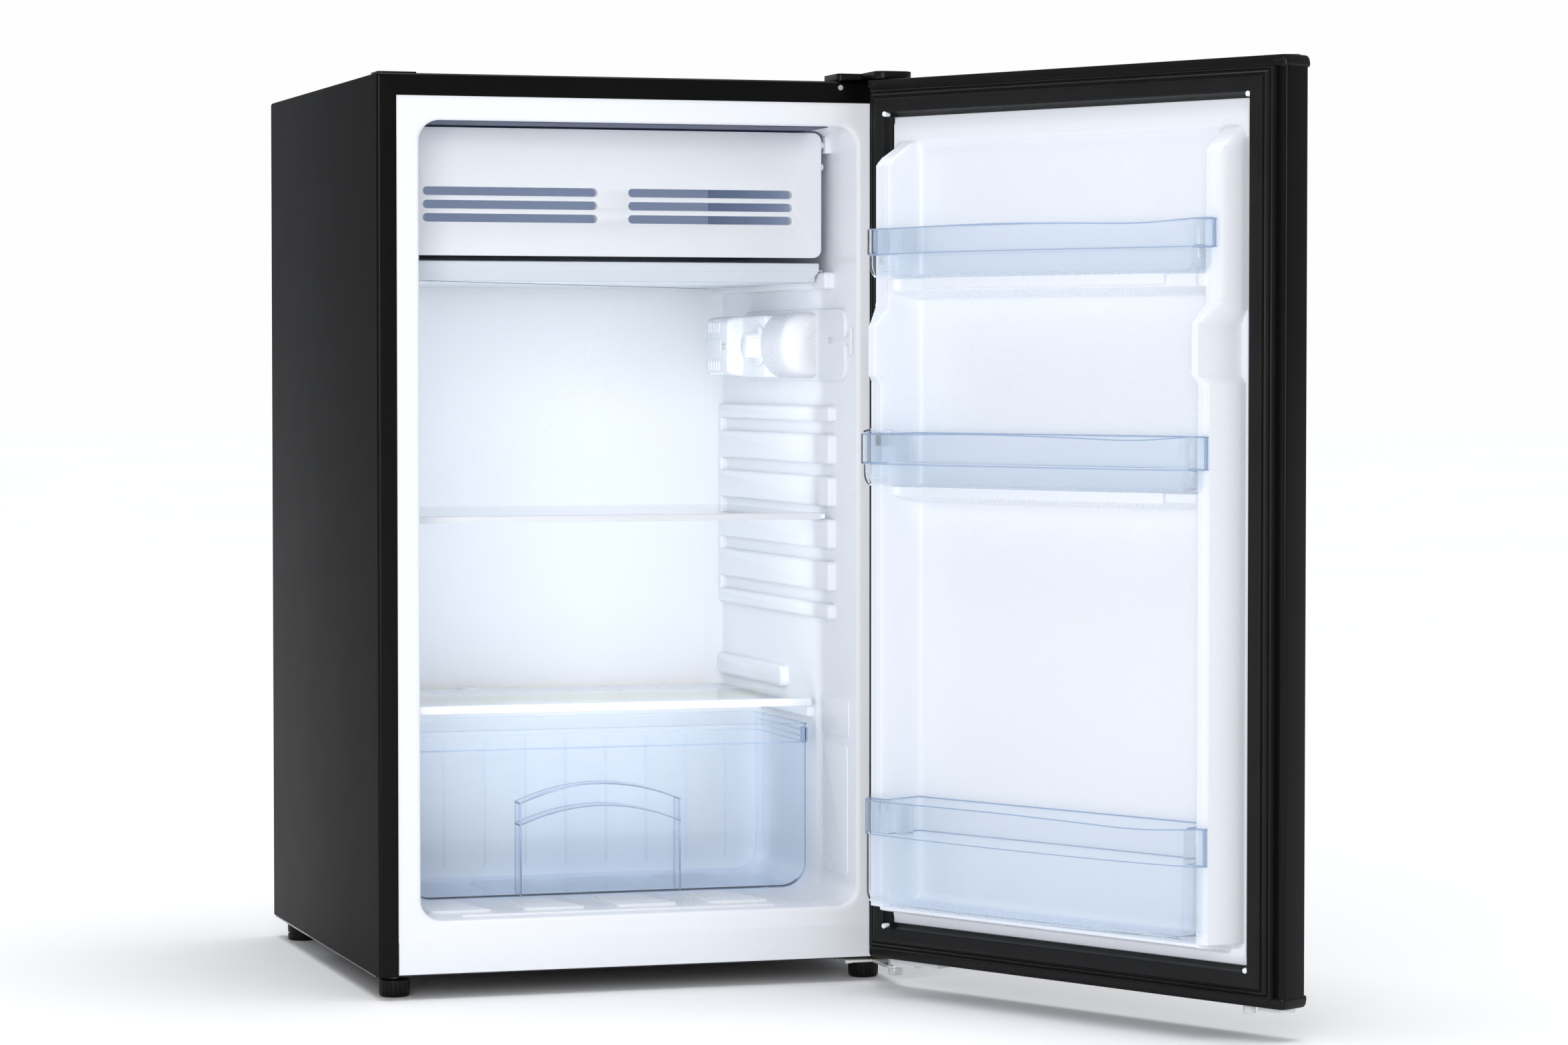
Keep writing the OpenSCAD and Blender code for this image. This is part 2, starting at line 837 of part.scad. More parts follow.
module door_foam() {
    z = [door_z0 + cap_h, door_z1 - cap_h];
    color([0.90, 0.82, 0.55])
        on_door()
            difference() {
                door_slab([1, cab_w - 1], [-door_t + 1, -1], z);
                at(pin_x, pin_y, z[0] - 1)
                    cylinder(h = 12, r = 8.2);
                at(pin_x, pin_y, z[1] - 11)
                    cylinder(h = 12, r = 8.2);
            }
}

// Cross-section of a bead wall: foot at the seal, crest at [s, d], inner foot
function bead(crest_s, crest_d) = [[38, 1.5], [crest_s, crest_d], [61, crest_d], [66, 1.5]];
function bead_core(crest_s, crest_d) =
    [[39.8, -1], [crest_s + 1.8, crest_d - 1.8], [59.6, crest_d - 1.8], [64, -1]];

module bead_wall(crest_s, crest_d, z) {
    difference() {
        union() {
            door_prism(bead(crest_s, crest_d), z);
            door_prism(mirror_s(bead(crest_s, crest_d)), z);
        }
        door_prism(bead_core(crest_s, crest_d), [z[0] + 1.8, z[1] - 1.8]);
        door_prism(mirror_s(bead_core(crest_s, crest_d)), [z[0] + 1.8, z[1] - 1.8]);
    }
}

module door_liner() {
    color([0.93, 0.95, 0.98])
        on_door()
            union() {
                door_slab([5, cab_w - 5], [0, 2], [door_z0 + cap_h + 1, door_z1 - cap_h - 1]);
                bead_wall(44, 35, [629, 776]);
                bead_wall(53, 54, [571, 629.5]);
                bead_wall(48, 45, [80, 571.5]);
                door_slab([65, cab_w - 65], [1, 34], [650, 661.5]);
                door_slab([65, cab_w - 65], [1, 34], [460, 471.5]);
                door_slab([65, cab_w - 65], [1, 34], [78, 87.5]);
            }
}

module door_gasket() {
    z0 = door_z0 + 9.5;
    z1 = door_z1 - 10;
    color([0.12, 0.12, 0.13])
        on_door()
            difference() {
                door_slab([seal_out, cab_w - seal_out], [2, seal_gap - 1], [z0, z1]);
                door_slab([seal_in, cab_w - seal_in], [1, seal_gap], [z0 + seal_w, z1 - seal_w]);
                for (s = [seal_in - 3, cab_w - seal_in + 3])
                    for (z = [z0 + seal_w - 3, z1 - seal_w + 3])
                        at(half_w - s, -seal_gap + 20, z)
                            rotate([90, 0, 0])
                                cylinder(h = 19, r = 4.6);
            }
}

module corner_plugs() {
    z0 = door_z0 + 9.5 + seal_w - 3;
    z1 = door_z1 - 10 - seal_w + 3;
    color([0.95, 0.96, 0.98])
        on_door()
            for (s = [seal_in - 3, cab_w - seal_in + 3])
                for (z = [z0, z1])
                    at(half_w - s, -seal_gap + 7, z)
                        rotate([90, 0, 0])
                            cylinder(h = 5, r = 3.6);
}

// Plan of a bin: a box between the bead walls and a wider bowed box in front of them
function bin_plan(crest, front, bow, t) =
    concat([[68 + t, 4 + t], [68 + t, crest + 1.5 + t], [47 + t, crest + 1.5 + t], [47 + t, front - 8]],
           [for (i = [0 : 12]) let (u = i / 12)
               [59 + t + u * (cab_w - 118 - 2 * t), front - t + bow * sin(180 * u)]],
           [[453 - t, front - 8], [453 - t, crest + 1.5 + t], [432 - t, crest + 1.5 + t], [432 - t, 4 + t]]);

module door_bin(crest, front, bow, z) {
    color([0.75, 0.85, 0.95, 0.45])
        on_door()
            difference() {
                door_prism(bin_plan(crest, front, bow, 0), z);
                door_prism(bin_plan(crest, front, bow, 2.2), [z[0] + 2.2, z[1] + 1]);
            }
}

module upper_bin() { door_bin(35, 57, 13, [662, 707]); }
module middle_bin() { door_bin(45, 65, 12, [472, 520]); }
module lower_bin() { door_bin(45, 58, 13, [88, 184]); }

module door_stop() {
    color([0.80, 0.81, 0.82])
        on_door()
            difference() {
                union() {
                    door_slab([24, 82], [-24, -8], [door_z0 - 5, door_z0]);
                    door_slab([24, 50], [-22, -10], [door_z0 - 8.3, door_z0 - 4.5]);
                }
                at(half_w - 66, -seal_gap - 16, door_z0 - 6)
                    cylinder(h = 7, r = 2.5);
            }
}

module spare_fittings() {
    color([0.80, 0.81, 0.82])
        on_door()
            union() {
                at(half_w - 452, -seal_gap - 12, door_z0 - 8)
                    cylinder(h = 8, r = 5.5);
                round_plate([half_w - 494, half_w - 462], [-seal_gap - 26, -seal_gap - 8],
                            [door_z0 - 4.5, door_z0], 5);
            }
}

module cord_gland() {
    color([0.08, 0.08, 0.08])
        at(gland_pos[0], cab_d - 6, gland_pos[1])
            rotate([-90, 0, 0])
                difference() {
                    union() {
                        cylinder(h = 4, r = 9);
                        translate([0, 0, -10])
                            cylinder(h = 11, r = 7);
                    }
                    translate([0, 0, -11])
                        cylinder(h = 18, r = 4);
                }
}

outer_shell();
back_panel();
bay_panel();
cabinet_foam();
inner_liner();
front_rail();
base_pan();
compressor_plate();
compressor();
compressor_grommets();
relay_cover();
condenser_coil();
filter_drier();
discharge_tube();
suction_tube();
evaporation_tray();
drain_tube();
evaporator();
freezer_flap();
flap_brackets();
drip_tray();
thermostat_housing();
thermostat_dial();
thermostat_body();
lamp_holder();
lamp_bulb();
lamp_cover();
housing_screw();
switch_plunger();
shelf_glass();
shelf_trim();
crisper_glass();
crisper_trim();
crisper_drawer();
left_foot_stud();
left_foot_knob();
right_foot_stud();
right_foot_knob();
rear_feet();
top_hinge_bracket();
top_hinge_pin();
hinge_cover();
hinge_screws();
hinge_hole_cap();
bottom_hinge_bracket();
bottom_hinge_pin();
bottom_hinge_nut();
door_skin();
door_top_cap();
door_bottom_cap();
door_foam();
door_liner();
door_gasket();
upper_bin();
middle_bin();
lower_bin();
corner_plugs();
door_stop();
spare_fittings();
cord_gland();
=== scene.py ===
"""Mini fridge: finished surfaces, finishes, floor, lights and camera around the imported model."""

import json
import logging
import math
from dataclasses import dataclass
from enum import Enum
from typing import Callable, Optional, Sequence

import bmesh
import bpy
import numpy as np
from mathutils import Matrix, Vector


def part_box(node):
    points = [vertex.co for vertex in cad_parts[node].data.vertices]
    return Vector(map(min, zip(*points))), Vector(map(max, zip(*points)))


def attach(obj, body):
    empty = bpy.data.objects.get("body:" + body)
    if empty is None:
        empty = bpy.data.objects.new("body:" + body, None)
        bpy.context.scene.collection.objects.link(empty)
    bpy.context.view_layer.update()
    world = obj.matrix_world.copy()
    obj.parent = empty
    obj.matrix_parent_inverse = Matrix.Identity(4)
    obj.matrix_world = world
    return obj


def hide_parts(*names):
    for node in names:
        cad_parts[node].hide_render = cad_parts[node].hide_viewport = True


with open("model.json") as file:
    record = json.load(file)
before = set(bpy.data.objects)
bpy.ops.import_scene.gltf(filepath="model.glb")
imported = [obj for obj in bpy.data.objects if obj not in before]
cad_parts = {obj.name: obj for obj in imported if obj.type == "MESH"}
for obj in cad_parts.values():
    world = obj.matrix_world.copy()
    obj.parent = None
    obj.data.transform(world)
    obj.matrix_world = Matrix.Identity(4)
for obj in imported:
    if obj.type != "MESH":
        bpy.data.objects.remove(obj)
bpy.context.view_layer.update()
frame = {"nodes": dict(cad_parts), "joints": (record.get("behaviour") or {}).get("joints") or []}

MM = 0.001

log = logging.getLogger("mini_fridge")


class Axis(Enum):
    """The cabinet axis along which a stack of rings is built."""

    UP = (0, 1, 2)
    BACK = (0, 2, 1)
    SIDE = (1, 2, 0)


class Grain(Enum):
    """How a finish's fine pattern is stretched."""

    EVEN = (1.0, 1.0, 1.0)
    ACROSS = (0.03, 1.0, 1.0)


# ---------------------------------------------------------------- places


@dataclass(frozen=True)
class Places:
    """Turns cabinet and door measures in millimetres into places in the row frame."""

    corner: np.ndarray
    pin: np.ndarray
    angle: float
    width: float
    seal_gap: float = 14.0

    @classmethod
    def from_frame(cls) -> "Places":
        """Reads the cabinet's front left corner and the door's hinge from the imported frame.

        Returns:
            The places of this fridge.
        """
        low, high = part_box("outer_shell")
        joint = next(j for j in frame["joints"] if j["name"] == "door_swing")
        return cls(
            corner=np.array([low.x, low.y, 0.0]),
            pin=np.array(joint["pos_m"], float),
            angle=math.radians(-joint["range_deg"][0]),
            width=(high.x - low.x) / MM,
        )

    def cabinet(self, points: np.ndarray) -> np.ndarray:
        """Cabinet measures (from the left side, from the front, from the floor) to the row frame."""
        return np.asarray(points, float) * MM + self.corner

    def door(self, points: np.ndarray) -> np.ndarray:
        """Door measures to the row frame, with the door open as it stands.

        The closed place is X = width - s and Y = d - gap. That place is then turned about the pin.

        Args:
            points: s from the hinge edge, d inwards from the inner face, z from the floor.

        Returns:
            The same points in metres in the row frame.
        """
        p = np.asarray(points, float)
        closed = np.stack([self.width - p[..., 0], p[..., 1] - self.seal_gap, p[..., 2]], -1)
        rel = self.cabinet(closed) - self.pin
        c, s = math.cos(self.angle), math.sin(self.angle)
        turned = np.stack([c * rel[..., 0] - s * rel[..., 1], s * rel[..., 0] + c * rel[..., 1]], -1)
        return np.concatenate([turned + self.pin[:2], rel[..., 2:] + self.pin[2]], -1)


PLACES = Places.from_frame()
Placer = Callable[[np.ndarray], np.ndarray]


# ---------------------------------------------------------------- shapes


def smooth_step(x: np.ndarray, low: float, high: float) -> np.ndarray:
    """Rises from 0 at low to 1 at high along 3t^2 - 2t^3."""
    t = np.clip((x - low) / (high - low), 0.0, 1.0)
    return t * t * (3.0 - 2.0 * t)


def rounded_loop(low: Sequence[float], high: Sequence[float], radius: float, steps: int = 6) -> np.ndarray:
    """A rectangle with quarter circles at its corners, as one closed loop.

    Args:
        low: lowest corner (a, b).
        high: highest corner (a, b).
        radius: corner radius.
        steps: spans in each quarter circle.

    Returns:
        4 * (steps + 1) points, anticlockwise in (a, b).
    """
    half = min(high[0] - low[0], high[1] - low[1]) / 2
    r = min(max(radius, 0.02), half * 0.999)
    turn = np.linspace(0, math.pi / 2, steps + 1)
    centres = [(high[0] - r, high[1] - r), (low[0] + r, high[1] - r),
               (low[0] + r, low[1] + r), (high[0] - r, low[1] + r)]
    arcs = [np.stack([cx + r * np.cos(turn + k * math.pi / 2), cy + r * np.sin(turn + k * math.pi / 2)], -1)
            for k, (cx, cy) in enumerate(centres)]
    return np.concatenate(arcs)


def inset_loop(loop: np.ndarray, amount: float) -> np.ndarray:
    """Moves each point of a closed anticlockwise loop inwards along its mitre.

    The move is the sum of the two neighbouring edge normals divided by one plus their dot product.

    Args:
        loop: closed loop of (a, b) points.
        amount: distance inwards.

    Returns:
        The moved loop.
    """
    after = np.roll(loop, -1, 0) - loop
    after /= np.maximum(np.linalg.norm(after, axis=1, keepdims=True), 1e-9)
    before = np.roll(after, 1, 0)
    n1 = np.stack([-before[:, 1], before[:, 0]], -1)
    n2 = np.stack([-after[:, 1], after[:, 0]], -1)
    share = 1.0 + np.sum(n1 * n2, axis=1, keepdims=True)
    return loop + amount * (n1 + n2) / np.maximum(share, 0.4)


def edge_rows(low: float, high: float, radius: float, steps: int = 4) -> np.ndarray:
    """Rows (inset, height) of a block whose two end edges are quarter circles.

    Args:
        low: height of the first end.
        high: height of the second end.
        radius: edge radius.
        steps: spans in each quarter circle.

    Returns:
        An array of (inset, height) rows from the first end to the second.
    """
    turn = np.linspace(0, math.pi / 2, steps + 1)
    first = np.stack([radius * (1 - np.sin(turn)), low + radius * (1 - np.cos(turn))], -1)
    second = np.stack([radius * (1 - np.sin(turn[::-1])), high - radius * (1 - np.cos(turn[::-1]))], -1)
    return np.concatenate([first, second])


def stack_rings(rings: Sequence[np.ndarray], heights: Sequence[np.ndarray], axis: Axis) -> np.ndarray:
    """Places flat rings along an axis as one grid.

    Args:
        rings: loops of (a, b) points, all of the same length.
        heights: the place of each ring along the axis, a number or one per point.
        axis: the axis.

    Returns:
        A grid of points, ring by ring.
    """
    plan = np.stack(rings)
    up = np.stack([np.broadcast_to(h, (plan.shape[1],)) for h in heights])
    out = np.empty(plan.shape[:2] + (3,))
    a, b, c = axis.value
    out[..., a] = plan[..., 0]
    out[..., b] = plan[..., 1]
    out[..., c] = up
    return out


def block(low: Sequence[float], high: Sequence[float], corner: float = 2.0, edge: float = 1.0,
          axis: Axis = Axis.UP, steps: int = 4) -> np.ndarray:
    """A box with rounded corners along one axis and rounded edges at both ends.

    Args:
        low: lowest corner.
        high: highest corner.
        corner: radius of the edges along the axis.
        edge: radius of the edges round both ends.
        axis: the axis.
        steps: spans in each quarter circle.

    Returns:
        A grid of rings to be closed at both ends.
    """
    a, b, c = axis.value
    rows = edge_rows(low[c], high[c], edge)
    rings = [rounded_loop((low[a] + i, low[b] + i), (high[a] - i, high[b] - i), max(corner - i, 0.3), steps)
             for i in rows[:, 0]]
    return stack_rings(rings, list(rows[:, 1]), axis)


def turned(profile: np.ndarray, centre: Sequence[float], axis: Axis, flutes: int = 0, depth: float = 0.0,
           around: int = 64, flute_rows: Optional[np.ndarray] = None) -> np.ndarray:
    """A lathe shape: each (radius, height) row is a circle, which flutes may cut into.

    The radius is r - depth * max(0, cos(flutes * angle)) on the fluted rows.

    Args:
        profile: rows of (radius, height).
        centre: centre in the two plan axes.
        axis: the turning axis.
        flutes: number of flutes.
        depth: depth of a flute.
        around: points round the circle.
        flute_rows: how strongly each row is fluted, 0 to 1.

    Returns:
        A grid of rings.
    """
    turn = np.linspace(0, 2 * math.pi, around, endpoint=False)
    share = np.zeros(len(profile)) if flute_rows is None else flute_rows
    cut = depth * np.clip(np.cos(flutes * turn) * 2.0, 0, 1) if flutes else np.zeros(around)
    rings = []
    for (radius, _), weight in zip(profile, share):
        r = radius - cut * weight
        rings.append(np.stack([centre[0] + r * np.cos(turn), centre[1] + r * np.sin(turn)], -1))
    return stack_rings(rings, list(profile[:, 1]), axis)


class Shape:
    """Collects grids of points and makes one mesh piece of them."""

    def __init__(self, name: str, place: Placer) -> None:
        """Starts an empty piece.

        Args:
            name: the piece's name.
            place: turns millimetre measures into the row frame.
        """
        self.name = name
        self.place = place
        self.points: list[np.ndarray] = []
        self.faces: list[tuple[int, ...]] = []
        self.count = 0

    def add(self, grid: np.ndarray, wrap: bool = True, ends: bool = True, loop: bool = False) -> "Shape":
        """Adds a grid of points as quads between neighbouring rows and columns.

        Args:
            grid: points, rows by columns by 3.
            wrap: the last column joins the first.
            ends: the first and last rows are closed with a flat face.
            loop: the last row joins the first.

        Returns:
            This piece.
        """
        rows, cols = grid.shape[:2]
        index = np.arange(rows * cols).reshape(rows, cols) + self.count
        if wrap:
            index = np.concatenate([index, index[:, :1]], 1)
        if loop:
            index = np.concatenate([index, index[:1]], 0)
        quads = np.stack([index[:-1, :-1], index[:-1, 1:], index[1:, 1:], index[1:, :-1]], -1).reshape(-1, 4)
        self.faces += [tuple(q) for q in quads.tolist()]
        if ends and wrap and not loop:
            self.faces.append(tuple(index[0, :cols][::-1].tolist()))
            self.faces.append(tuple(index[-1, :cols].tolist()))
        self.points.append(grid.reshape(-1, 3))
        self.count += rows * cols
        return self

    def build(self, sharp: float = 38.0, outward: bool = True) -> bpy.types.Object:
        """Makes the mesh object.

        Args:
            sharp: edges that turn more than this many degrees stay sharp.
            outward: recalculates the normals, for closed shells.

        Returns:
            The new object, at the origin.
        """
        mesh = bpy.data.meshes.new(self.name)
        mesh.from_pydata(self.place(np.concatenate(self.points)).tolist(), [], self.faces)
        tidy_mesh(mesh, outward)
        mesh.shade_smooth()
        mesh.set_sharp_from_angle(angle=math.radians(sharp))
        obj = bpy.data.objects.new(self.name, mesh)
        bpy.context.collection.objects.link(obj)
        return obj


def tidy_mesh(mesh: bpy.types.Mesh, outward: bool, merge: float = 2e-6) -> None:
    """Merges doubled points, drops what has no area and turns the faces outwards.

    Args:
        mesh: the mesh to clean.
        outward: recalculates the normals.
        merge: distance under which points are one.
    """
    work = bmesh.new()
    work.from_mesh(mesh)
    bmesh.ops.remove_doubles(work, verts=work.verts, dist=merge)
    bmesh.ops.dissolve_degenerate(work, dist=merge, edges=work.edges)
    if outward:
        bmesh.ops.recalc_face_normals(work, faces=work.faces)
    work.to_mesh(mesh)
    work.free()


# ---------------------------------------------------------------- finishes


@dataclass(frozen=True)
class Finish:
    """A surface finish with fine colour, roughness and height variation."""

    name: str
    base: tuple[float, float, float]
    spread: float = 0.03
    rough: float = 0.4
    rough_spread: float = 0.06
    metallic: float = 0.0
    fine: float = 900.0
    bump: float = 0.02
    grain: Grain = Grain.EVEN
    edge_lighten: float = 0.0
    clear: float = 0.0
    ior: float = 1.46
    coat: float = 0.0
    shine: float = 0.5
    rim: Optional[tuple[float, float, float]] = None
    warm: tuple[float, float, float] = (1.0, 1.0, 1.0)

    def material(self) -> bpy.types.Material:
        """Builds the finish once, and returns it on later calls.

        Returns:
            The material.
        """
        full_name = self.name + "_finish"
        found = bpy.data.materials.get(full_name)
        if found is not None:
            return found
        made = bpy.data.materials.new(full_name)
        made.use_nodes = True
        tree = made.node_tree
        shader = tree.nodes["Principled BSDF"]
        shader.inputs["Metallic"].default_value = self.metallic
        shader.inputs["IOR"].default_value = self.ior
        shader.inputs["Transmission Weight"].default_value = self.clear
        shader.inputs["Coat Weight"].default_value = self.coat
        shader.inputs["Coat Roughness"].default_value = 0.08
        shader.inputs["Specular IOR Level"].default_value = self.shine
        place = tree.nodes.new("ShaderNodeTexCoord")
        stretch = tree.nodes.new("ShaderNodeMapping")
        stretch.inputs["Scale"].default_value = self.grain.value
        tree.links.new(place.outputs["Object"], stretch.inputs["Vector"])
        broad = self._noise(tree, stretch, self.fine * 0.012, 3.0)
        fine = self._noise(tree, stretch, self.fine, 2.0)
        self._colour(tree, shader, broad)
        self._roughness(tree, shader, broad, fine)
        bump = tree.nodes.new("ShaderNodeBump")
        bump.inputs["Strength"].default_value = 0.6
        bump.inputs["Distance"].default_value = self.bump * MM
        tree.links.new(fine.outputs["Fac"], bump.inputs["Height"])
        tree.links.new(bump.outputs["Normal"], shader.inputs["Normal"])
        if self.clear > 0.9:
            self._pass_lamps(tree, shader)
        return made

    def _pass_lamps(self, tree: bpy.types.NodeTree, shader: bpy.types.Node) -> None:
        """Lets lamp light and bounced light through the clear finish without bending it."""
        path = tree.nodes.new("ShaderNodeLightPath")
        either = tree.nodes.new("ShaderNodeMath")
        either.operation = "MAXIMUM"
        through = tree.nodes.new("ShaderNodeBsdfTransparent")
        through.inputs["Color"].default_value = (*self.base, 1.0)
        mix = tree.nodes.new("ShaderNodeMixShader")
        tree.links.new(path.outputs["Is Shadow Ray"], either.inputs[0])
        tree.links.new(path.outputs["Is Diffuse Ray"], either.inputs[1])
        tree.links.new(either.outputs["Value"], mix.inputs["Fac"])
        tree.links.new(shader.outputs["BSDF"], mix.inputs[1])
        tree.links.new(through.outputs["BSDF"], mix.inputs[2])
        tree.links.new(mix.outputs["Shader"], tree.nodes["Material Output"].inputs["Surface"])

    @staticmethod
    def _noise(tree: bpy.types.NodeTree, source: bpy.types.Node, scale: float,
               detail: float) -> bpy.types.Node:
        """A noise texture of the given scale, in patterns per metre."""
        node = tree.nodes.new("ShaderNodeTexNoise")
        node.inputs["Scale"].default_value = scale
        node.inputs["Detail"].default_value = detail
        tree.links.new(source.outputs["Vector"], node.inputs["Vector"])
        return node

    def _colour(self, tree: bpy.types.NodeTree, shader: bpy.types.Node, broad: bpy.types.Node) -> None:
        """Varies the base colour along the broad noise and lightens sharp convex edges, where the pointiness
        is high.
        """
        ramp = tree.nodes.new("ShaderNodeValToRGB")
        low = [max(c * (1 - self.spread), 0.0) for c in self.base]
        high = [min(c * (1 + self.spread) * w, 1.0) for c, w in zip(self.base, self.warm)]
        ramp.color_ramp.elements[0].position = 0.35
        ramp.color_ramp.elements[1].position = 0.65
        ramp.color_ramp.elements[0].color = (*low, 1.0)
        ramp.color_ramp.elements[1].color = (*high, 1.0)
        tree.links.new(broad.outputs["Fac"], ramp.inputs["Fac"])
        if self.rim is not None:
            self._rim(tree, shader, ramp)
            return
        if self.edge_lighten <= 0:
            tree.links.new(ramp.outputs["Color"], shader.inputs["Base Color"])
            return
        # Sharp convex edges, found by pointiness, are mixed towards a lighter colour.
        shape = tree.nodes.new("ShaderNodeNewGeometry")
        edge = tree.nodes.new("ShaderNodeMapRange")
        edge.inputs["From Min"].default_value = 0.52
        edge.inputs["From Max"].default_value = 0.64
        edge.inputs["To Max"].default_value = self.edge_lighten
        mix = tree.nodes.new("ShaderNodeMix")
        mix.data_type = "RGBA"
        mix.inputs["B"].default_value = (*[min(c * 1.6 + 0.05, 1.0) for c in self.base], 1.0)
        tree.links.new(shape.outputs["Pointiness"], edge.inputs["Value"])
        tree.links.new(edge.outputs["Result"], mix.inputs["Factor"])
        tree.links.new(ramp.outputs["Color"], mix.inputs["A"])
        tree.links.new(mix.outputs["Result"], shader.inputs["Base Color"])

    def _rim(self, tree: bpy.types.NodeTree, shader: bpy.types.Node, ramp: bpy.types.Node) -> None:
        """Deepens the colour where the surface turns away, as the edges of clear plastic do."""
        turn = tree.nodes.new("ShaderNodeLayerWeight")
        turn.inputs["Blend"].default_value = 0.35
        edge = tree.nodes.new("ShaderNodeMapRange")
        edge.inputs["From Min"].default_value = 0.45
        edge.inputs["From Max"].default_value = 0.95
        mix = tree.nodes.new("ShaderNodeMix")
        mix.data_type = "RGBA"
        mix.inputs["B"].default_value = (*self.rim, 1.0)
        tree.links.new(turn.outputs["Facing"], edge.inputs["Value"])
        tree.links.new(edge.outputs["Result"], mix.inputs["Factor"])
        tree.links.new(ramp.outputs["Color"], mix.inputs["A"])
        tree.links.new(mix.outputs["Result"], shader.inputs["Base Color"])

    def _roughness(self, tree: bpy.types.NodeTree, shader: bpy.types.Node, broad: bpy.types.Node,
                   fine: bpy.types.Node) -> None:
        """Varies the roughness along the sum of the broad and the fine noise."""
        total = tree.nodes.new("ShaderNodeMath")
        total.operation = "ADD"
        spread = tree.nodes.new("ShaderNodeMapRange")
        spread.inputs["From Min"].default_value = 0.7
        spread.inputs["From Max"].default_value = 1.3
        spread.inputs["To Min"].default_value = max(self.rough - self.rough_spread, 0.0)
        spread.inputs["To Max"].default_value = self.rough + self.rough_spread
        tree.links.new(broad.outputs["Fac"], total.inputs[0])
        tree.links.new(fine.outputs["Fac"], total.inputs[1])
        tree.links.new(total.outputs["Value"], spread.inputs["Value"])
        tree.links.new(spread.outputs["Result"], shader.inputs["Roughness"])


SHELL_PAINT = Finish("shell_paint", (0.0085, 0.0085, 0.009), 0.04, 0.46, 0.015, fine=1400, bump=0.02,
                     edge_lighten=0.02, shine=0.025)
DOOR_PAINT = Finish("door_paint", (0.0055, 0.0055, 0.0058), 0.05, 0.17, 0.05, fine=1400, bump=0.015,
                    shine=0.12)
FLANGE_PAINT = Finish("flange_paint", (0.0035, 0.0035, 0.0037), 0.05, 0.22, 0.04, fine=1400, bump=0.02,
                      shine=0.12)
CAP_BLACK = Finish("cap_black", (0.005, 0.005, 0.0053), 0.08, 0.26, 0.06, fine=1100, bump=0.02, edge_lighten=0.08,
                   shine=0.2)
FOOT_BLACK = Finish("foot_black", (0.005, 0.005, 0.005), 0.1, 0.38, 0.08, fine=1500, bump=0.04, edge_lighten=0.1,
                    shine=0.2)
SEAL_RUBBER = Finish("seal_rubber", (0.009, 0.009, 0.0092), 0.1, 0.42, 0.07, fine=1800, bump=0.03, shine=0.18)
LINER_WHITE = Finish("liner_white", (0.90, 0.918, 0.962), 0.006, 0.24, 0.04, fine=500, bump=0.012, shine=0.35)
DOOR_WHITE = Finish("door_liner_white", (0.85, 0.88, 0.935), 0.006, 0.26, 0.04, fine=500, bump=0.012,
                    shine=0.3)
PART_WHITE = Finish("part_white", (0.87, 0.895, 0.94), 0.01, 0.3, 0.05, fine=900, bump=0.012, shine=0.3)
# The drip tray's white plastic, darkened and blued: painted shade from the freezer flap above it.
TRAY_WHITE_SHADED = Finish("tray_white", (0.74, 0.785, 0.85), 0.01, 0.32, 0.05, fine=900, bump=0.012, shine=0.3)
LAMP_WHITE = Finish("lamp_cover_white", (0.87, 0.89, 0.94), 0.01, 0.3, 0.05, fine=900, bump=0.012, shine=0.3,
                    clear=0.2)
BULB_GLASS = Finish("bulb_glass", (0.97, 0.95, 0.86), 0.01, 0.08, 0.02, fine=600, bump=0.005, clear=0.8)
STOP_GREY = Finish("stop_grey", (0.80, 0.82, 0.84), 0.03, 0.42, 0.06, fine=900, bump=0.03)
ZINC = Finish("zinc", (0.70, 0.71, 0.73), 0.08, 0.28, 0.08, metallic=0.7, fine=700, bump=0.02,
              grain=Grain.ACROSS, warm=(1.0, 0.99, 0.95))
PLAIN_SHEET = Finish("plain_sheet", (0.42, 0.43, 0.45), 0.1, 0.38, 0.08, metallic=0.85, fine=260, bump=0.02)
BLACK_STEEL = Finish("black_steel", (0.012, 0.012, 0.013), 0.15, 0.3, 0.08, fine=900, bump=0.05, edge_lighten=0.15)
COPPER = Finish("copper", (0.62, 0.30, 0.17), 0.15, 0.3, 0.1, metallic=1.0, fine=500, bump=0.02,
                warm=(0.9, 0.85, 0.8))
# Aluminium for the evaporator. The metal is real; its blue tint is painted shade, the slate-blue look of the
# shaded freezer slot.
ALUMINIUM_SHADE_TINTED = Finish("aluminium", (0.66, 0.72, 0.83), 0.05, 0.45, 0.08, metallic=0.3, fine=500, bump=0.02)
# Dark slate blue sheet: painted shade for the shaded band under the ceiling above the freezer flap.
SHADE_SLATE_SHEET = Finish("slate_sheet", (0.075, 0.095, 0.16), 0.06, 0.5, 0.06, fine=500, bump=0.02, shine=0.3)
FOAM = Finish("foam", (0.72, 0.60, 0.32), 0.12, 0.85, 0.05, fine=1200, bump=0.3)
SHEET_GLASS = Finish("sheet_glass", (0.965, 0.985, 0.985), 0.003, 0.02, 0.01, fine=300, bump=0.001, clear=1.0,
                     ior=1.3, rim=(0.72, 0.86, 0.90))
CLEAR_BLUE = Finish("clear_blue", (0.955, 0.972, 0.99), 0.004, 0.05, 0.02, fine=600, bump=0.003,
                    clear=0.97, coat=0.35, ior=1.04, rim=(0.66, 0.76, 0.92))
EDGE_BLUE = Finish("edge_blue", (0.50, 0.61, 0.78), 0.01, 0.12, 0.03, fine=600, bump=0.003, clear=0.5,
                   ior=1.04)
DRAWER_BLUE = Finish("drawer_blue", (0.94, 0.96, 0.985), 0.004, 0.05, 0.02, fine=600, bump=0.003,
                     clear=0.97, coat=0.35, ior=1.04, rim=(0.60, 0.71, 0.90))


def dress(obj: bpy.types.Object, finish: Finish) -> None:
    """Gives every face of an object one finish."""
    obj.data.materials.clear()
    obj.data.materials.append(finish.material())


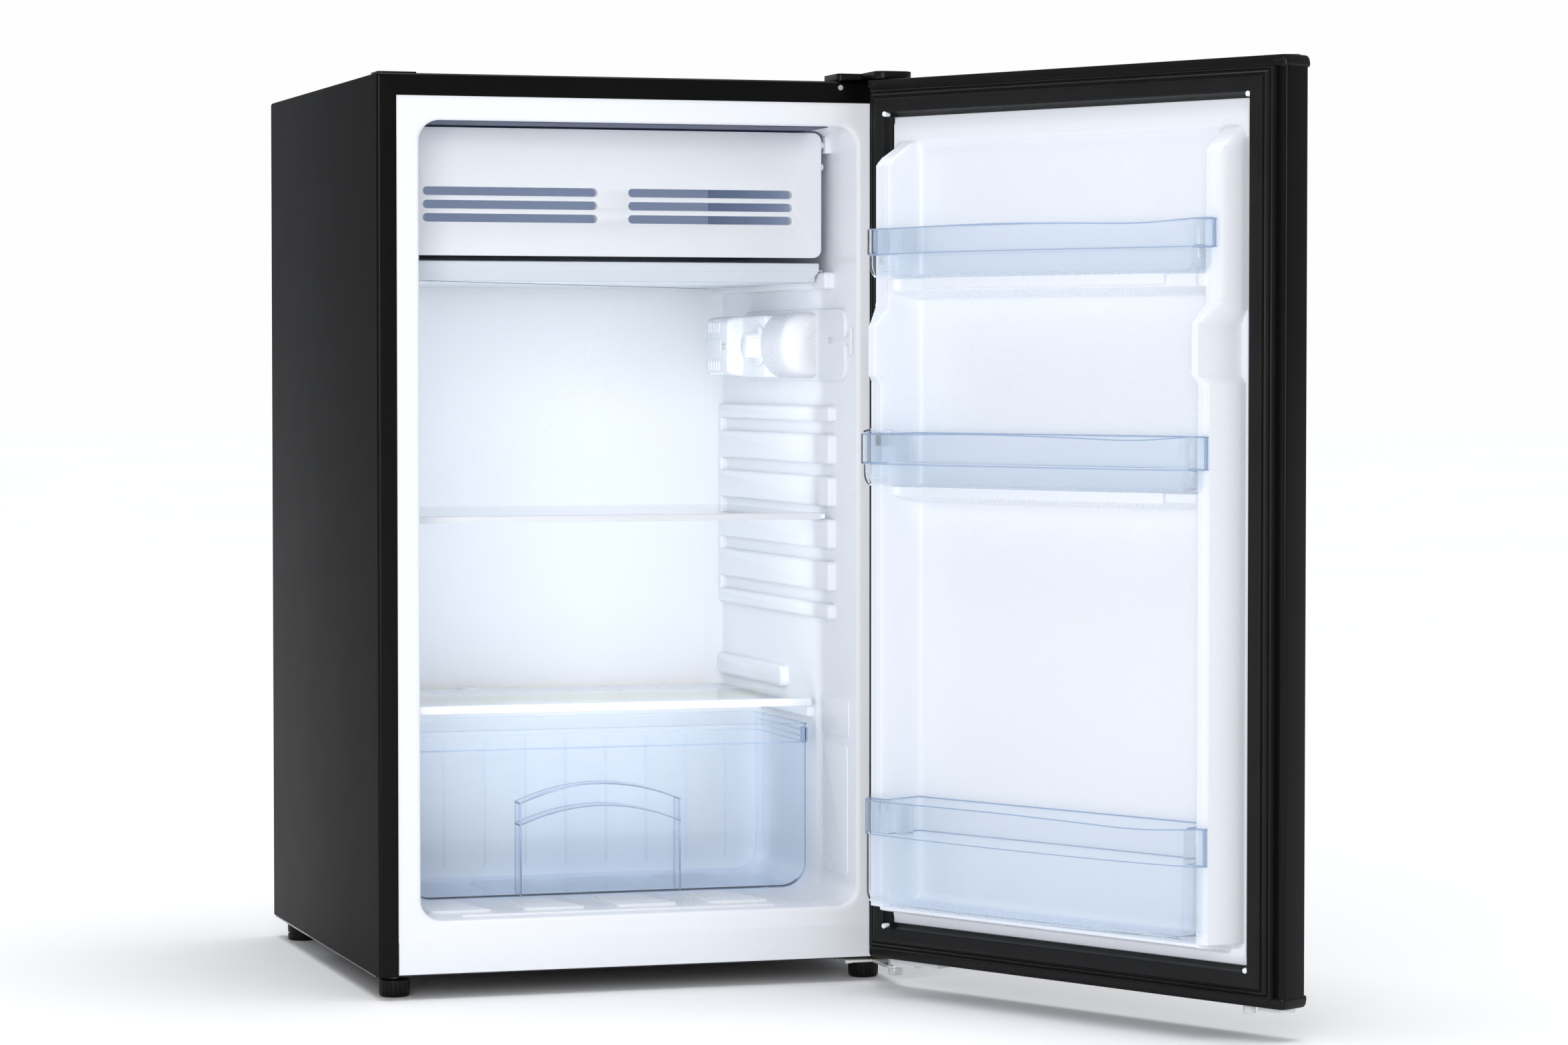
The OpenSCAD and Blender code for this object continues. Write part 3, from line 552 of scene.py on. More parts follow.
def settle(obj: bpy.types.Object, finish: Finish, body: str,
           stands_for: Sequence[str] = ()) -> None:
    """Dresses a new piece, rides it on its body and reports it.

    Args:
        obj: the piece.
        finish: its finish.
        body: the body it moves with.
        stands_for: the CAD nodes it replaces.
    """
    dress(obj, finish)
    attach(obj, body)
    if stands_for:
        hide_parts(*stands_for)
    log.info("%s: %d faces on %s", obj.name, len(obj.data.polygons), body)


def softened(node: str, finish: Finish, body: str, width: float = 0.6, sharp: float = 30.0,
             segments: int = 2) -> bpy.types.Object:
    """A copy of a CAD node with merged faces and rounded edges, which stands for the node.

    Args:
        node: the CAD node.
        finish: its finish.
        body: the body it moves with.
        width: width of the rounding in millimetres.
        sharp: edges that turn more than this many degrees are rounded.
        segments: spans across the rounding.

    Returns:
        The new piece.
    """
    mesh = frame["nodes"][node].data.copy()
    mesh.name = node + "_soft"
    work = bmesh.new()
    work.from_mesh(mesh)
    bmesh.ops.remove_doubles(work, verts=work.verts, dist=1e-5)
    bmesh.ops.dissolve_limit(work, angle_limit=math.radians(2.0), verts=work.verts, edges=work.edges)
    bmesh.ops.recalc_face_normals(work, faces=work.faces)
    work.to_mesh(mesh)
    work.free()
    obj = bpy.data.objects.new(node + "_soft", mesh)
    bpy.context.collection.objects.link(obj)
    bevel = obj.modifiers.new("edges", "BEVEL")
    bevel.width = width * MM
    bevel.segments = segments
    bevel.limit_method = "ANGLE"
    bevel.angle_limit = math.radians(sharp)
    bevel.use_clamp_overlap = True
    shown = obj.evaluated_get(bpy.context.evaluated_depsgraph_get())
    obj.data = bpy.data.meshes.new_from_object(shown)
    obj.modifiers.clear()
    obj.data.shade_smooth()
    obj.data.set_sharp_from_angle(angle=math.radians(40))
    settle(obj, finish, body, [node])
    return obj


# ---------------------------------------------------------------- cabinet


@dataclass
class CabinetShell:
    """The painted sheet shell, folded into a flange round the opening."""

    width: float = 500.0
    depth: float = 506.0
    base: float = 22.0
    top: float = 848.0
    bend: float = 3.0
    flange_side: float = 18.4
    flange_top: float = 20.3
    back_fold: float = 13.0

    def path(self, inset: float, steps: int = 6) -> np.ndarray:
        """The sheet's way up the left side, over the top and down the right side.

        Args:
            inset: distance inwards from the outer face, scaled to the flange's height at the top.
            steps: spans in each top corner.

        Returns:
            Points (x, z) from the bottom left to the bottom right.
        """
        drop = inset * (self.flange_top / self.flange_side if inset > self.bend else 1.0)
        r = max(self.bend - inset, 0.05)
        turn = np.linspace(0, math.pi / 2, steps + 1)
        left = np.stack([inset + r * (1 - np.cos(turn)), self.top - drop - r * (1 - np.sin(turn))], -1)
        right = np.stack([self.width - left[::-1, 0], left[::-1, 1]], -1)
        first, last = [[inset, self.base]], [[self.width - inset, self.base]]
        return np.concatenate([first, left, right, last])

    def profile(self) -> np.ndarray:
        """The sheet's section as (inset, depth) rows: flange, front fold, side, rear fold, inner face."""
        turn = np.linspace(0, math.pi / 2, 5)
        r = self.bend
        front = np.stack([r * (1 - np.sin(turn)), r * (1 - np.cos(turn))], -1)
        rear = np.stack([r * (1 - np.sin(turn[::-1])), self.depth - r * (1 - np.cos(turn[::-1]))], -1)
        inner = np.array([[self.back_fold, self.depth - 0.9], [1.0, self.depth - 1.5], [1.0, 1.5],
                          [self.flange_side, 0.9]])
        return np.concatenate([[[self.flange_side, 0.0]], front, rear, [[self.back_fold, self.depth]], inner])

    def build(self) -> None:
        """Sweeps the section along the path. The flange's faces take the glossier paint."""
        rows = self.profile()
        grid = np.stack([
            np.insert(self.path(inset), 1, depth, axis=1) for inset, depth in rows
        ])
        shape = Shape("shell_sheet", PLACES.cabinet)
        shape.add(grid, wrap=False, ends=False, loop=True)
        cols = grid.shape[1]
        for col in (0, cols - 1):
            shape.faces.append(tuple(int(r * cols + col) for r in range(len(rows))))
        obj = shape.build()
        settle(obj, SHELL_PAINT, "cabinet", ["outer_shell"])
        obj.data.materials.append(FLANGE_PAINT.material())
        front = (PLACES.corner[1] + 2.0 * MM)
        for face in obj.data.polygons:
            if face.center.y < front:
                face.material_index = 1


@dataclass
class Liner:
    """The white one-piece inner liner with its lip, shelf ribs, step and floor pads."""

    wall: float = 40.0
    depth: float = 455.0
    floor: float = 72.0
    ceiling: float = 806.0
    thick: float = 1.5
    step_front: float = 300.0
    step_top: float = 253.0
    grooves: tuple[float, ...] = (353.5, 394.1, 434.7, 475.3, 515.9)
    groove_high: float = 12.2
    lip: float = 4.0
    face: float = 0.8
    rib_out: float = 8.0
    rib_front: float = 65.0
    rib_back: float = 432.0

    def ring(self, inset: float, radius: float) -> np.ndarray:
        """A rounded rectangle round the opening at an inset from the cabinet's side.

        Args:
            inset: distance from the cabinet's side.
            radius: corner radius.

        Returns:
            A loop of (x, z) points.
        """
        known = [10.0, 18.4, 34.0, 40.0, 60.0]
        low = np.interp(inset, known, [52.0, 55.8, 66.0, self.floor, self.floor + 20])
        high = np.interp(inset, known, [834.0, 827.7, 812.0, self.ceiling, self.ceiling - 20])
        return rounded_loop((inset, low), (500.0 - inset, high), radius, 8)

    def cavity(self) -> np.ndarray:
        """Rings from the hidden outside of the back, forward round the face and back along the inner wall.

        Returns:
            A grid to be closed at both ends.
        """
        turn = np.linspace(0, math.pi / 2, 6)
        rows: list[tuple[float, float, float]] = [(58.0, self.depth + self.thick, 6.0)]
        rows += [(self.wall - self.thick, self.depth - 16.0, 20.0), (self.wall - self.thick, 4.0, 20.0)]
        rows += [(12.0, 3.0, 1.0), (12.0, 0.8, 1.0), (18.4, 0.8, 1.0), (35.0, 0.8, 18.0)]
        lip, face = self.lip, self.face
        rows += [(self.wall - lip + lip * math.sin(a), face + lip * (1 - math.cos(a)), 19.0 + math.sin(a))
                 for a in turn[1:]]
        rows += [(self.wall, 60.0, 20.0), (self.wall, self.depth - 18.0, 20.0)]
        rows += [(self.wall + 18.0 * (1 - math.cos(a)), self.depth - 18.0 + 18.0 * math.sin(a),
                  20.0 - 8.0 * math.sin(a)) for a in turn[1:]]
        return stack_rings([self.ring(i, r) for i, _, r in rows], [y for _, y, _ in rows], Axis.BACK)

    def wall_rib(self, shape: Shape, y: Sequence[float], z: Sequence[float], out: float, corner: float,
                 edge: float = 3.0) -> None:
        """Adds one rib on each side wall.

        Args:
            shape: the piece to add to.
            y: front and back of the rib.
            z: bottom and top of the rib.
            out: how far it stands out of the wall.
            corner: radius of its corners seen from the side.
            edge: radius of its outer edge.
        """
        left, right = self.wall - 1.0, 500.0 - self.wall + 1.0
        shape.add(block((right - 1.0 - out, y[0], z[0]), (right + 4.0, y[1], z[1]), corner, edge, Axis.SIDE))
        shape.add(block((left - 4.0, y[0], z[0]), (left + 1.0 + out, y[1], z[1]), corner, edge, Axis.SIDE))

    def build(self) -> None:
        """Builds the liner and everything moulded into it."""
        shape = Shape("liner_shell", PLACES.cabinet)
        shape.add(self.cavity())
        shape.add(block((39.0, self.step_front, 60.0), (461.0, 456.0, self.step_top), 14.0, 3.0,
                        Axis.SIDE, 8))
        edges = [self.grooves[0] - 15.0]
        for z in self.grooves:
            edges += [z, z + self.groove_high]
        edges.append(self.grooves[-1] + self.groove_high + 15.0)
        for low, high in zip(edges[0::2], edges[1::2]):
            self.wall_rib(shape, (self.rib_front, self.rib_back), (low, high), self.rib_out, 4.0)
        for z in self.grooves:
            self.wall_rib(shape, (self.rib_back - 6.0, self.rib_back + 4.0),
                          (z - 2.0, z + self.groove_high + 2.0), self.rib_out - 1.0, 1.5, 1.5)
        self.wall_rib(shape, (216.0, 440.0), (264.0, 286.0), 8.0, 8.0, 4.0)
        self.wall_rib(shape, (136.0, self.step_front + 4.0), (240.0, self.step_top), 6.0, 3.0, 2.0)
        self.wall_rib(shape, (71.0, 450.0), (655.0, 671.0), 10.0, 3.0, 3.0)
        self.wall_rib(shape, (24.0, 108.0), (228.0, 264.0), 0.9, 5.0, 0.8)
        self.wall_rib(shape, (28.0, 102.0), (96.0, 222.0), 0.9, 7.0, 0.8)
        for x in (95.0, 185.0, 275.0, 365.0):
            shape.add(block((x - 34.0, 56.0, 66.0), (x + 26.0, 280.0, self.floor + 2.4), 6.0, 2.2))
        shape.add(block((84.0, 25.0, 68.0), (388.0, 31.0, self.floor + 1.8), 2.8, 1.6))
        obj = shape.build()
        settle(obj, LINER_WHITE, "cabinet", ["inner_liner"])


@dataclass
class LowerRail:
    """The white rail under the opening."""

    low: tuple[float, float, float] = (18.6, 0.6, 23.3)
    high: tuple[float, float, float] = (481.4, 19.0, 55.3)

    def build(self) -> None:
        """Builds the rail as one rounded block."""
        shape = Shape("rail_cover", PLACES.cabinet)
        shape.add(block(self.low, self.high, 1.6, 1.2, Axis.SIDE))
        settle(shape.build(), PART_WHITE, "cabinet", ["front_rail"])


@dataclass
class Foot:
    """A ribbed foot: a fluted knob with a rounded lower edge."""

    name: str
    body: str
    node: str
    centre: tuple[float, float]
    radius: float = 14.5
    high: float = 16.4
    flutes: int = 22

    def build(self) -> None:
        """Turns the knob and cuts its flutes."""
        r, h = self.radius, self.high
        profile = np.array([[r - 5.0, 0.0], [r - 2.4, 0.3], [r - 1.0, 1.2], [r - 0.5, 2.6], [r - 0.3, 4.5],
                            [r, h - 3.6], [r, h - 2.0], [r - 0.3, h - 0.6], [r - 1.6, h], [8.0, h],
                            [8.0, h + 0.9]])
        weight = np.array([0.0, 0.3, 0.8, 1.0, 1.0, 1.0, 0.5, 0.0, 0.0, 0.0, 0.0])
        grid = turned(profile, self.centre, Axis.UP, self.flutes, 0.8, self.flutes * 8, weight)
        shape = Shape(self.name, PLACES.cabinet)
        shape.add(grid)
        settle(shape.build(50), FOOT_BLACK, self.body, [self.node])


@dataclass
class RearFeet:
    """The two moulded rear feet."""

    centres: tuple[tuple[float, float], ...] = ((22.0, 466.0), (478.0, 466.0))
    radius: float = 15.0

    def build(self) -> None:
        """Turns both feet into one piece."""
        r = self.radius
        profile = np.array([[r - 4.0, 0.0], [r - 1.2, 0.4], [r - 0.4, 1.6], [r - 0.2, 6.0], [r - 1.0, 6.6],
                            [r - 1.0, 8.0], [r - 0.2, 8.6], [r, 15.0], [r - 0.4, 17.8], [r - 1.4, 18.5],
                            [r - 3.0, 18.5], [r - 3.0, 20.0]])
        shape = Shape("rear_foot_pair", PLACES.cabinet)
        for centre in self.centres:
            shape.add(turned(profile, centre, Axis.UP))
        settle(shape.build(), FOOT_BLACK, "cabinet", ["rear_feet"])


@dataclass
class CoolingControls:
    """The thermostat housing's dial and lamp cover on the right wall."""

    wall: float = 460.0
    dial_at: tuple[float, float] = (215.0, 601.5)
    dial_face: float = 429.7

    def dial(self) -> None:
        """Turns the dial: a thin skirt with a short fluted knob, and a pointer on the skirt."""
        x = self.dial_face
        profile = np.array([[3.0, x + 11.0], [3.0, x], [19.4, x], [20.0, x - 0.5], [19.6, x - 1.9],
                            [18.6, x - 2.4], [13.6, x - 2.6], [12.9, x - 3.6], [12.5, x - 14.0],
                            [11.6, x - 15.4], [10.2, x - 16.0]])
        weight = np.array([0, 0, 0, 0, 0, 0, 0, 0.6, 1, 0.6, 0])
        shape = Shape("dial_knob", PLACES.cabinet)
        shape.add(turned(profile, self.dial_at, Axis.SIDE, 18, 0.5, 144, weight))
        y, z = self.dial_at
        shape.add(block((x - 3.0, y - 18.0, z - 1.2), (x - 1.6, y - 12.0, z + 1.2), 0.8, 0.4, Axis.SIDE))
        shape.add(block((x - 16.5, y - 9.0, z - 0.9), (x - 15.5, y - 2.0, z + 0.9), 0.8, 0.3, Axis.SIDE))
        settle(shape.build(), PART_WHITE, "thermostat_dial", ["thermostat_dial"])

    def marks(self) -> None:
        """Small raised marks round the dial on the housing's face."""
        shape = Shape("dial_marks", PLACES.cabinet)
        y0, z0 = self.dial_at
        for k in range(7):
            a = math.radians(60 + 40 * k)
            y, z = y0 + 23.0 * math.cos(a), z0 + 23.0 * math.sin(a)
            size = 0.5 + 0.12 * k
            shape.add(block((self.dial_face - 0.1, y - size, z - size),
                            (self.dial_face + 0.8, y + size, z + size), size, 0.2, Axis.SIDE))
        settle(shape.build(), STOP_GREY, "cabinet")

    def lamp_cover(self) -> None:
        """The bulged lamp cover.

        Each station along the depth is a flattened half ellipse whose bulge rises quickly at the front
        end and stays level to the back. The closing wall lies against the housing's base.
        """
        depth = np.concatenate([[113.0], 113.0 + 20.0 * (1 - np.cos(np.linspace(0.25, math.pi / 2, 8))),
                                np.linspace(140.0, 194.2, 10)])
        rise = np.concatenate([[0.02], np.sin(np.linspace(0.25, math.pi / 2, 8)), np.ones(10)])
        bulge = 34.5 * np.minimum(1.0, rise)
        around = np.linspace(0, math.pi, 33)
        half = 32.0 * (0.82 + 0.18 * rise)
        arch = np.abs(np.sin(around)) ** 0.62
        x = self.wall - 4.2 - bulge[:, None] * arch[None, :] + 3.2
        z = self.dial_at[1] + half[:, None] * np.cos(around)[None, :]
        outer = np.stack([x, np.broadcast_to(depth[:, None], x.shape), z], -1)
        inner = outer.copy()
        inner[..., 0] = np.minimum(outer[..., 0] + 1.6, self.wall - 0.6)
        inner[..., 2] = self.dial_at[1] + (outer[..., 2] - self.dial_at[1]) * 0.95
        shape = Shape("lamp_bulge", PLACES.cabinet)
        shape.add(np.concatenate([outer, inner[:, ::-1]], 1))
        shape.add(block((self.wall - 34.5, 184.0, 594.0), (self.wall - 30.5, 194.0, 608.5), 4.8, 1.2,
                        Axis.SIDE))
        settle(shape.build(), LAMP_WHITE, "cabinet", ["lamp_cover"])

    def housing(self) -> None:
        """The housing: a base plate, the dial's block and the vented block, each with soft edges.

        The vented block's slats wrap over its upper and lower bevels.
        """
        w = self.wall
        shape = Shape("control_housing", PLACES.cabinet)
        shape.add(block((w - 4.0, 28.0, 567.0), (w + 0.4, 355.0, 636.0), 16.0, 1.4, Axis.SIDE, 8))
        shape.add(block((w - 30.0, 196.0, 570.0), (w - 1.0, 290.0, 631.0), 6.0, 2.4, Axis.SIDE))
        lean = [(7.0, w - 46.0), (5.2, w - 45.6), (3.0, w - 44.0), (1.2, w - 40.0), (0.0, w - 32.0),
                (0.0, w - 1.0)]
        rings = [rounded_loop((272.0 + i * 0.3, 571.0 + i), (353.0 - i, 631.0 - i), 5.0) for i, _ in lean]
        shape.add(stack_rings(rings, [x for _, x in lean], Axis.SIDE))
        for k in range(5):
            y = 299.0 + 9.0 * k
            for z0, z1 in ((574.0, 590.0), (612.0, 628.0)):
                shape.add(block((w - 46.9, y, z0 + 3.0), (w - 44.0, y + 2.2, z1 - 3.0), 0.9, 0.6, Axis.SIDE))
                z_out = z0 if z0 < 600.0 else z1 - 3.6
                shape.add(block((w - 45.0, y, z_out - 1.4), (w - 34.0, y + 2.2, z_out + 4.0), 0.9, 0.6,
                                Axis.SIDE))
        shape.add(block((w - 46.6, 296.0, 594.0), (w - 45.6, 350.0, 608.0), 2.0, 0.4, Axis.SIDE))
        settle(shape.build(), PART_WHITE, "cabinet", ["thermostat_housing"])

    def build(self) -> None:
        """Builds the controls."""
        self.housing()
        self.dial()
        self.marks()
        self.lamp_cover()


@dataclass
class FreezerTop:
    """The evaporator's thin upper sheet, which runs forward under the cavity's ceiling. Its dark slate colour
    is painted shade: it stands for the shaded band of ceiling seen above the freezer flap.
    """

    low: tuple[float, float, float] = (58.0, 11.0, 805.25)
    high: tuple[float, float, float] = (436.0, 110.0, 805.95)

    def build(self) -> None:
        """Builds the sheet, in its dark painted-shade colour."""
        shape = Shape("evaporator_lip", PLACES.cabinet)
        shape.add(block(self.low, self.high, 6.0, 0.2))
        settle(shape.build(), SHADE_SLATE_SHEET, "cabinet")


@dataclass
class DripTray:
    """The drip tray under the freezer: a shallow tray, its front lip and a lower set-back band."""

    left: float = 52.0
    right: float = 448.0
    front: float = 88.0
    back: float = 440.0
    low: float = 661.0
    high: float = 674.0

    def build(self) -> None:
        """Builds the tray as an open box with a rounded rim. The right end of the band slants."""
        plan = rounded_loop((self.left, self.front), (self.right, self.back), 5.0)
        rows = [(14.0, self.low), (2.4, self.low), (0.7, self.low + 0.7), (0.0, self.low + 2.4),
                (0.0, self.high - 0.5), (0.5, self.high), (2.0, self.high), (2.5, self.high - 0.5),
                (2.5, self.low + 3.4), (3.2, self.low + 2.4), (14.0, self.low + 2.0)]
        shape = Shape("drip_tray_body", PLACES.cabinet)
        shape.add(stack_rings([inset_loop(plan, i) for i, _ in rows], [z for _, z in rows], Axis.UP))
        shape.add(block((self.left - 2.0, self.front - 2.0, 671.0),
                        (self.right + 2.0, self.front + 1.2, 679.5), 1.4, 0.9, Axis.SIDE))
        for x0, x1 in ((43.0, 53.0), (447.0, 457.0)):
            shape.add(block((x0, 96.0, 671.3), (x1, 436.0, 673.5), 1.0, 0.6))
        slope = [(0.0, 671.4), (0.0, 669.6), (9.0, 662.4), (10.0, 661.2)]
        plans = [rounded_loop((50.5, self.front - 1.0), (449.0 - i, self.front + 1.5), 0.8) for i, _ in slope]
        shape.add(stack_rings(plans, [z for _, z in slope], Axis.UP))
        # The tray takes the darker white, which paints the flap's shade onto it.
        settle(shape.build(), TRAY_WHITE_SHADED, "drip_tray", ["drip_tray"])


@dataclass
class CrisperDrawer:
    """The clear crisper drawer: a tub with round lower corners, a rim band, back ribs and an arched grip."""

    left: float = 52.0
    right: float = 448.0
    front: float = 122.0
    back: float = 285.0
    low: float = 77.0
    high: float = 236.0
    band: float = 217.0
    corner: float = 24.0
    wall: float = 2.2
    grip: tuple[float, float, float, float] = (163.0, 322.0, 167.0, 184.0)

    def loop(self, inset: float, corner: float) -> np.ndarray:
        """The tub seen from the front: square above, round at its two lower corners.

        Args:
            inset: distance inwards.
            corner: radius of the lower corners.

        Returns:
            A closed loop of (x, z), from the upper right corner anticlockwise.
        """
        x0, x1, z0, z1 = self.left + inset, self.right - inset, self.low + inset, self.high
        turn = np.linspace(0, math.pi / 2, 9)
        low_left = np.stack([x0 + corner - corner * np.cos(turn), z0 + corner - corner * np.sin(turn)], -1)
        low_right = np.stack([x1 - corner + corner * np.sin(turn), z0 + corner - corner * np.cos(turn)], -1)
        return np.concatenate([[[x1, z1], [x0, z1]], low_left, low_right])

    def panel(self, y0: float, y1: float, edge: float) -> np.ndarray:
        """A front or back wall: the tub's outline from y0 to y1, with a round outer edge.

        Args:
            y0: depth of the outer face.
            y1: depth of the inner face.
            edge: radius of the outer edge.

        Returns:
            A grid to be closed at both ends.
        """
        turn = np.linspace(0, math.pi / 2, 5)
        way = 1.0 if y1 > y0 else -1.0
        rows = [(edge * (1 - math.sin(a)), y0 + way * edge * (1 - math.cos(a))) for a in turn]
        rows.append((0.0, y1))
        rings = [self.loop(i, self.corner - i) for i, _ in rows]
        return stack_rings(rings, [y for _, y in rows], Axis.BACK)

    def walls(self, shape: Shape) -> None:
        """Adds the front and back walls and the round trough between them."""
        t = self.wall
        shape.add(self.panel(self.front, self.front + t, 1.6))
        shape.add(self.panel(self.back, self.back - t, 1.6))
        outer = self.loop(0.0, self.corner)[1:]
        inner = self.loop(t, self.corner - t)[1:]
        outer = np.concatenate([outer, [[self.right, self.high]]])
        inner = np.concatenate([inner, [[self.right - t, self.high]]])
        ring = np.concatenate([outer, inner[::-1]])
        shape.add(stack_rings([ring, ring], [self.front + t + 0.05, self.back - t - 0.05], Axis.BACK))
        for x in np.linspace(self.left + 34.0, self.right - 34.0, 9):
            shape.add(block((x - 1.2, self.back - t - 1.0, self.low + 12.0),
                            (x + 1.2, self.back - t + 0.2, 214.0), 0.8, 0.4))

    def rim(self, shape: Shape) -> None:
        """Adds the band's two thin ledges round the top and the runner ribs.

        Args:
            shape: the piece to add to.
        """
        plan = rounded_loop((self.left - 2.0, self.front - 0.6), (self.right + 2.0, self.back + 1.0), 4.0)
        for low, high in ((self.band, self.band + 1.6), (self.high - 1.8, self.high + 0.2)):
            rows = [(1.9, low), (0.3, low + 0.2), (0.0, low + 0.7), (0.3, high - 0.2), (1.9, high)]
            shape.add(stack_rings([inset_loop(plan, i) for i, _ in rows], [z for _, z in rows], Axis.UP),
                      ends=False, loop=True)
        for z in (222.0, 228.0):
            shape.add(block((self.right - 1.0, self.front + 10.0, z),
                            (self.right + 1.6, self.back - 8.0, z + 1.8), 0.8, 0.6, Axis.SIDE))

    def edges(self) -> None:
        """Builds the deeper-coloured edges: front outline, band line, grip arch and catch."""
        x0, x1, side, top = self.grip
        y = self.front - 0.7
        shape = Shape("drawer_edges", PLACES.cabinet)
        rows = [(0.8, y), (0.0, y), (0.0, y + 1.0), (0.8, y + 1.0)]
        rings = [self.loop(i, self.corner - i) for i, _ in rows]
        shape.add(stack_rings(rings, [d for _, d in rows], Axis.BACK), ends=False, loop=True)
        u = np.linspace(0, 1, 25)
        x = x0 + (x1 - x0) * u
        arch = side + (top - side) * (1 - (2 * u - 1) ** 2)
        for drop in (0.0, 21.0):
            strip = [np.stack([x, np.full_like(x, d), arch - drop - low], -1)
                     for d, low in ((y, 0.0), (y + 1.0, 0.0), (y + 1.0, 0.9), (y, 0.9))]
            shape.add(np.stack(strip, 1))
        for a in (x0, x1 - 1.4):
            shape.add(block((a, y, self.low + 1.0), (a + 1.4, y + 1.0, side), 0.5, 0.3))
        shape.add(block((self.left, y, self.band), (self.right, y + 1.0, self.band + 0.9), 0.4, 0.3))
        shape.add(block((self.right - 3.0, y, self.band + 1.0),
                        (self.right + 2.0, self.front + 9.0, self.high - 4.0), 1.4, 0.8))
        settle(shape.build(34), EDGE_BLUE, "crisper_drawer")

    def grip_arch(self, shape: Shape) -> None:
        """Adds the grip: an arched hood that stands back from the front wall, over a recess.

        The arch's height is side + rise * (1 - (2u - 1)^2) across the grip.

        Args:
            shape: the piece to add to.
        """
        x0, x1, side, top = self.grip
        u = np.linspace(0, 1, 25)
        arch = side + (top - side) * (1 - (2 * u - 1) ** 2)
        x = x0 + (x1 - x0) * u
        y0, y1 = self.front - 0.4, self.front + 20.0
        for drop, thick in ((0.0, 2.0), (21.0, 1.6)):
            hood = [np.stack([x, np.full_like(x, y), arch - drop - t], -1)
                    for y, t in ((y0, 0.0), (y1, 0.0), (y1, thick), (y0, thick))]
            shape.add(np.stack(hood, 1))
        for a, b in ((x0, x0 + 2.0), (x1 - 2.0, x1)):
            shape.add(block((a, y0, self.low + 1.0), (b, y1, side - 0.5), 0.8, 0.5))
        back = [np.stack([x, np.full_like(x, y), z], -1)
                for y, z in ((y1 - 1.8, np.full_like(x, self.low + 2.4)), (y1 - 1.8, arch - 0.6),
                             (y1, arch - 0.6), (y1, np.full_like(x, self.low + 2.4)))]
        shape.add(np.stack(back, 1))

    def build(self) -> None:
        """Builds the drawer."""
        self.edges()
        shape = Shape("drawer_clear", PLACES.cabinet)
        self.walls(shape)
        self.rim(shape)
        self.grip_arch(shape)
        settle(shape.build(36), DRAWER_BLUE, "crisper_drawer", ["crisper_drawer"])


# ---------------------------------------------------------------- door


@dataclass
class DoorSkin:
    """The painted door sheet, folded round both upright edges."""

    width: float = 500.0
    thick: float = 29.0
    low: float = 38.0
    high: float = 837.5
    bend: float = 2.6
    fold: float = 14.0

    def section(self) -> np.ndarray:
        """The sheet's plan as a closed loop of (s, d): the outside, then the inside 0.8 mm in."""
        turn = np.linspace(0, math.pi / 2, 6)
        r, w, t = self.bend, self.width, self.thick
        near = np.stack([r * (1 - np.sin(turn)), -r * (1 - np.cos(turn))], -1)
        far = np.stack([r * (1 - np.cos(turn)), -t + r * (1 - np.sin(turn))], -1)
        half = np.concatenate([[[self.fold, 0.0]], near, far])
        other = np.stack([w - half[::-1, 0], half[::-1, 1]], -1)
        outside = np.concatenate([half, other])
        shift = outside - np.array([w / 2, -t / 2])
        size = np.array([w / 2, t / 2])
        inside = np.array([w / 2, -t / 2]) + shift * (size - 0.8) / size
        return np.concatenate([outside, inside[::-1]])

    def build(self) -> None:
        """Raises the section from the lower cap to the upper cap."""
        plan = self.section()
        grid = stack_rings([plan, plan], [self.low, self.high], Axis.UP)
        shape = Shape("door_sheet", PLACES.door)
        shape.add(grid)
        settle(shape.build(), DOOR_PAINT, "door", ["door_skin"])


@dataclass
class DoorCap:
    """A moulded cap along the door's upper or lower edge."""

    name: str
    node: str
    low: float
    high: float
    upper: bool
    lip: float = 4.0

    def build(self) -> None:
        """Stacks rings whose outer face bulges, with a step towards the cap's open side."""
        inner = self.high if not self.upper else self.low
        outer = self.low if not self.upper else self.high
        way = 1.0 if self.upper else -1.0
        rows = [(0.6, inner), (0.0, inner + way * 0.6), (-0.4, inner + way * 2.5), (0.0, inner + way * 6.0),
                (0.8, inner + way * 8.2), (2.2, inner + way * 9.6), (4.0, outer)]
        rings = [rounded_loop((i * 0.5, -29.0 - self.lip + i), (500.0 - i * 0.5, 1.0 - max(i, 0) * 0.4), 4.5)
                 for i, _ in rows]
        shape = Shape(self.name, PLACES.door)
        shape.add(stack_rings(rings, [z for _, z in rows], Axis.UP))
        top = outer - way * 0.2
        if self.upper:
            shape.add(block((0.3, -5.5, top - 6.0), (7.0, 1.2, top), 0.8, 0.5))
            shape.add(block((486.0, -5.5, top - 6.0), (497.0, 1.2, top), 0.8, 0.5))
            shape.add(block((7.0, -27.0, outer - 1.0), (493.0, -6.0, outer + 0.1), 2.0, 0.4))
            dome = np.array([[7.8, top], [7.8, top + 0.8], [7.0, top + 1.3]])
            shape.add(turned(dome, (486.0, -23.0), Axis.UP))
        obj = shape.build()
        settle(obj, CAP_BLACK, "door", [self.node])


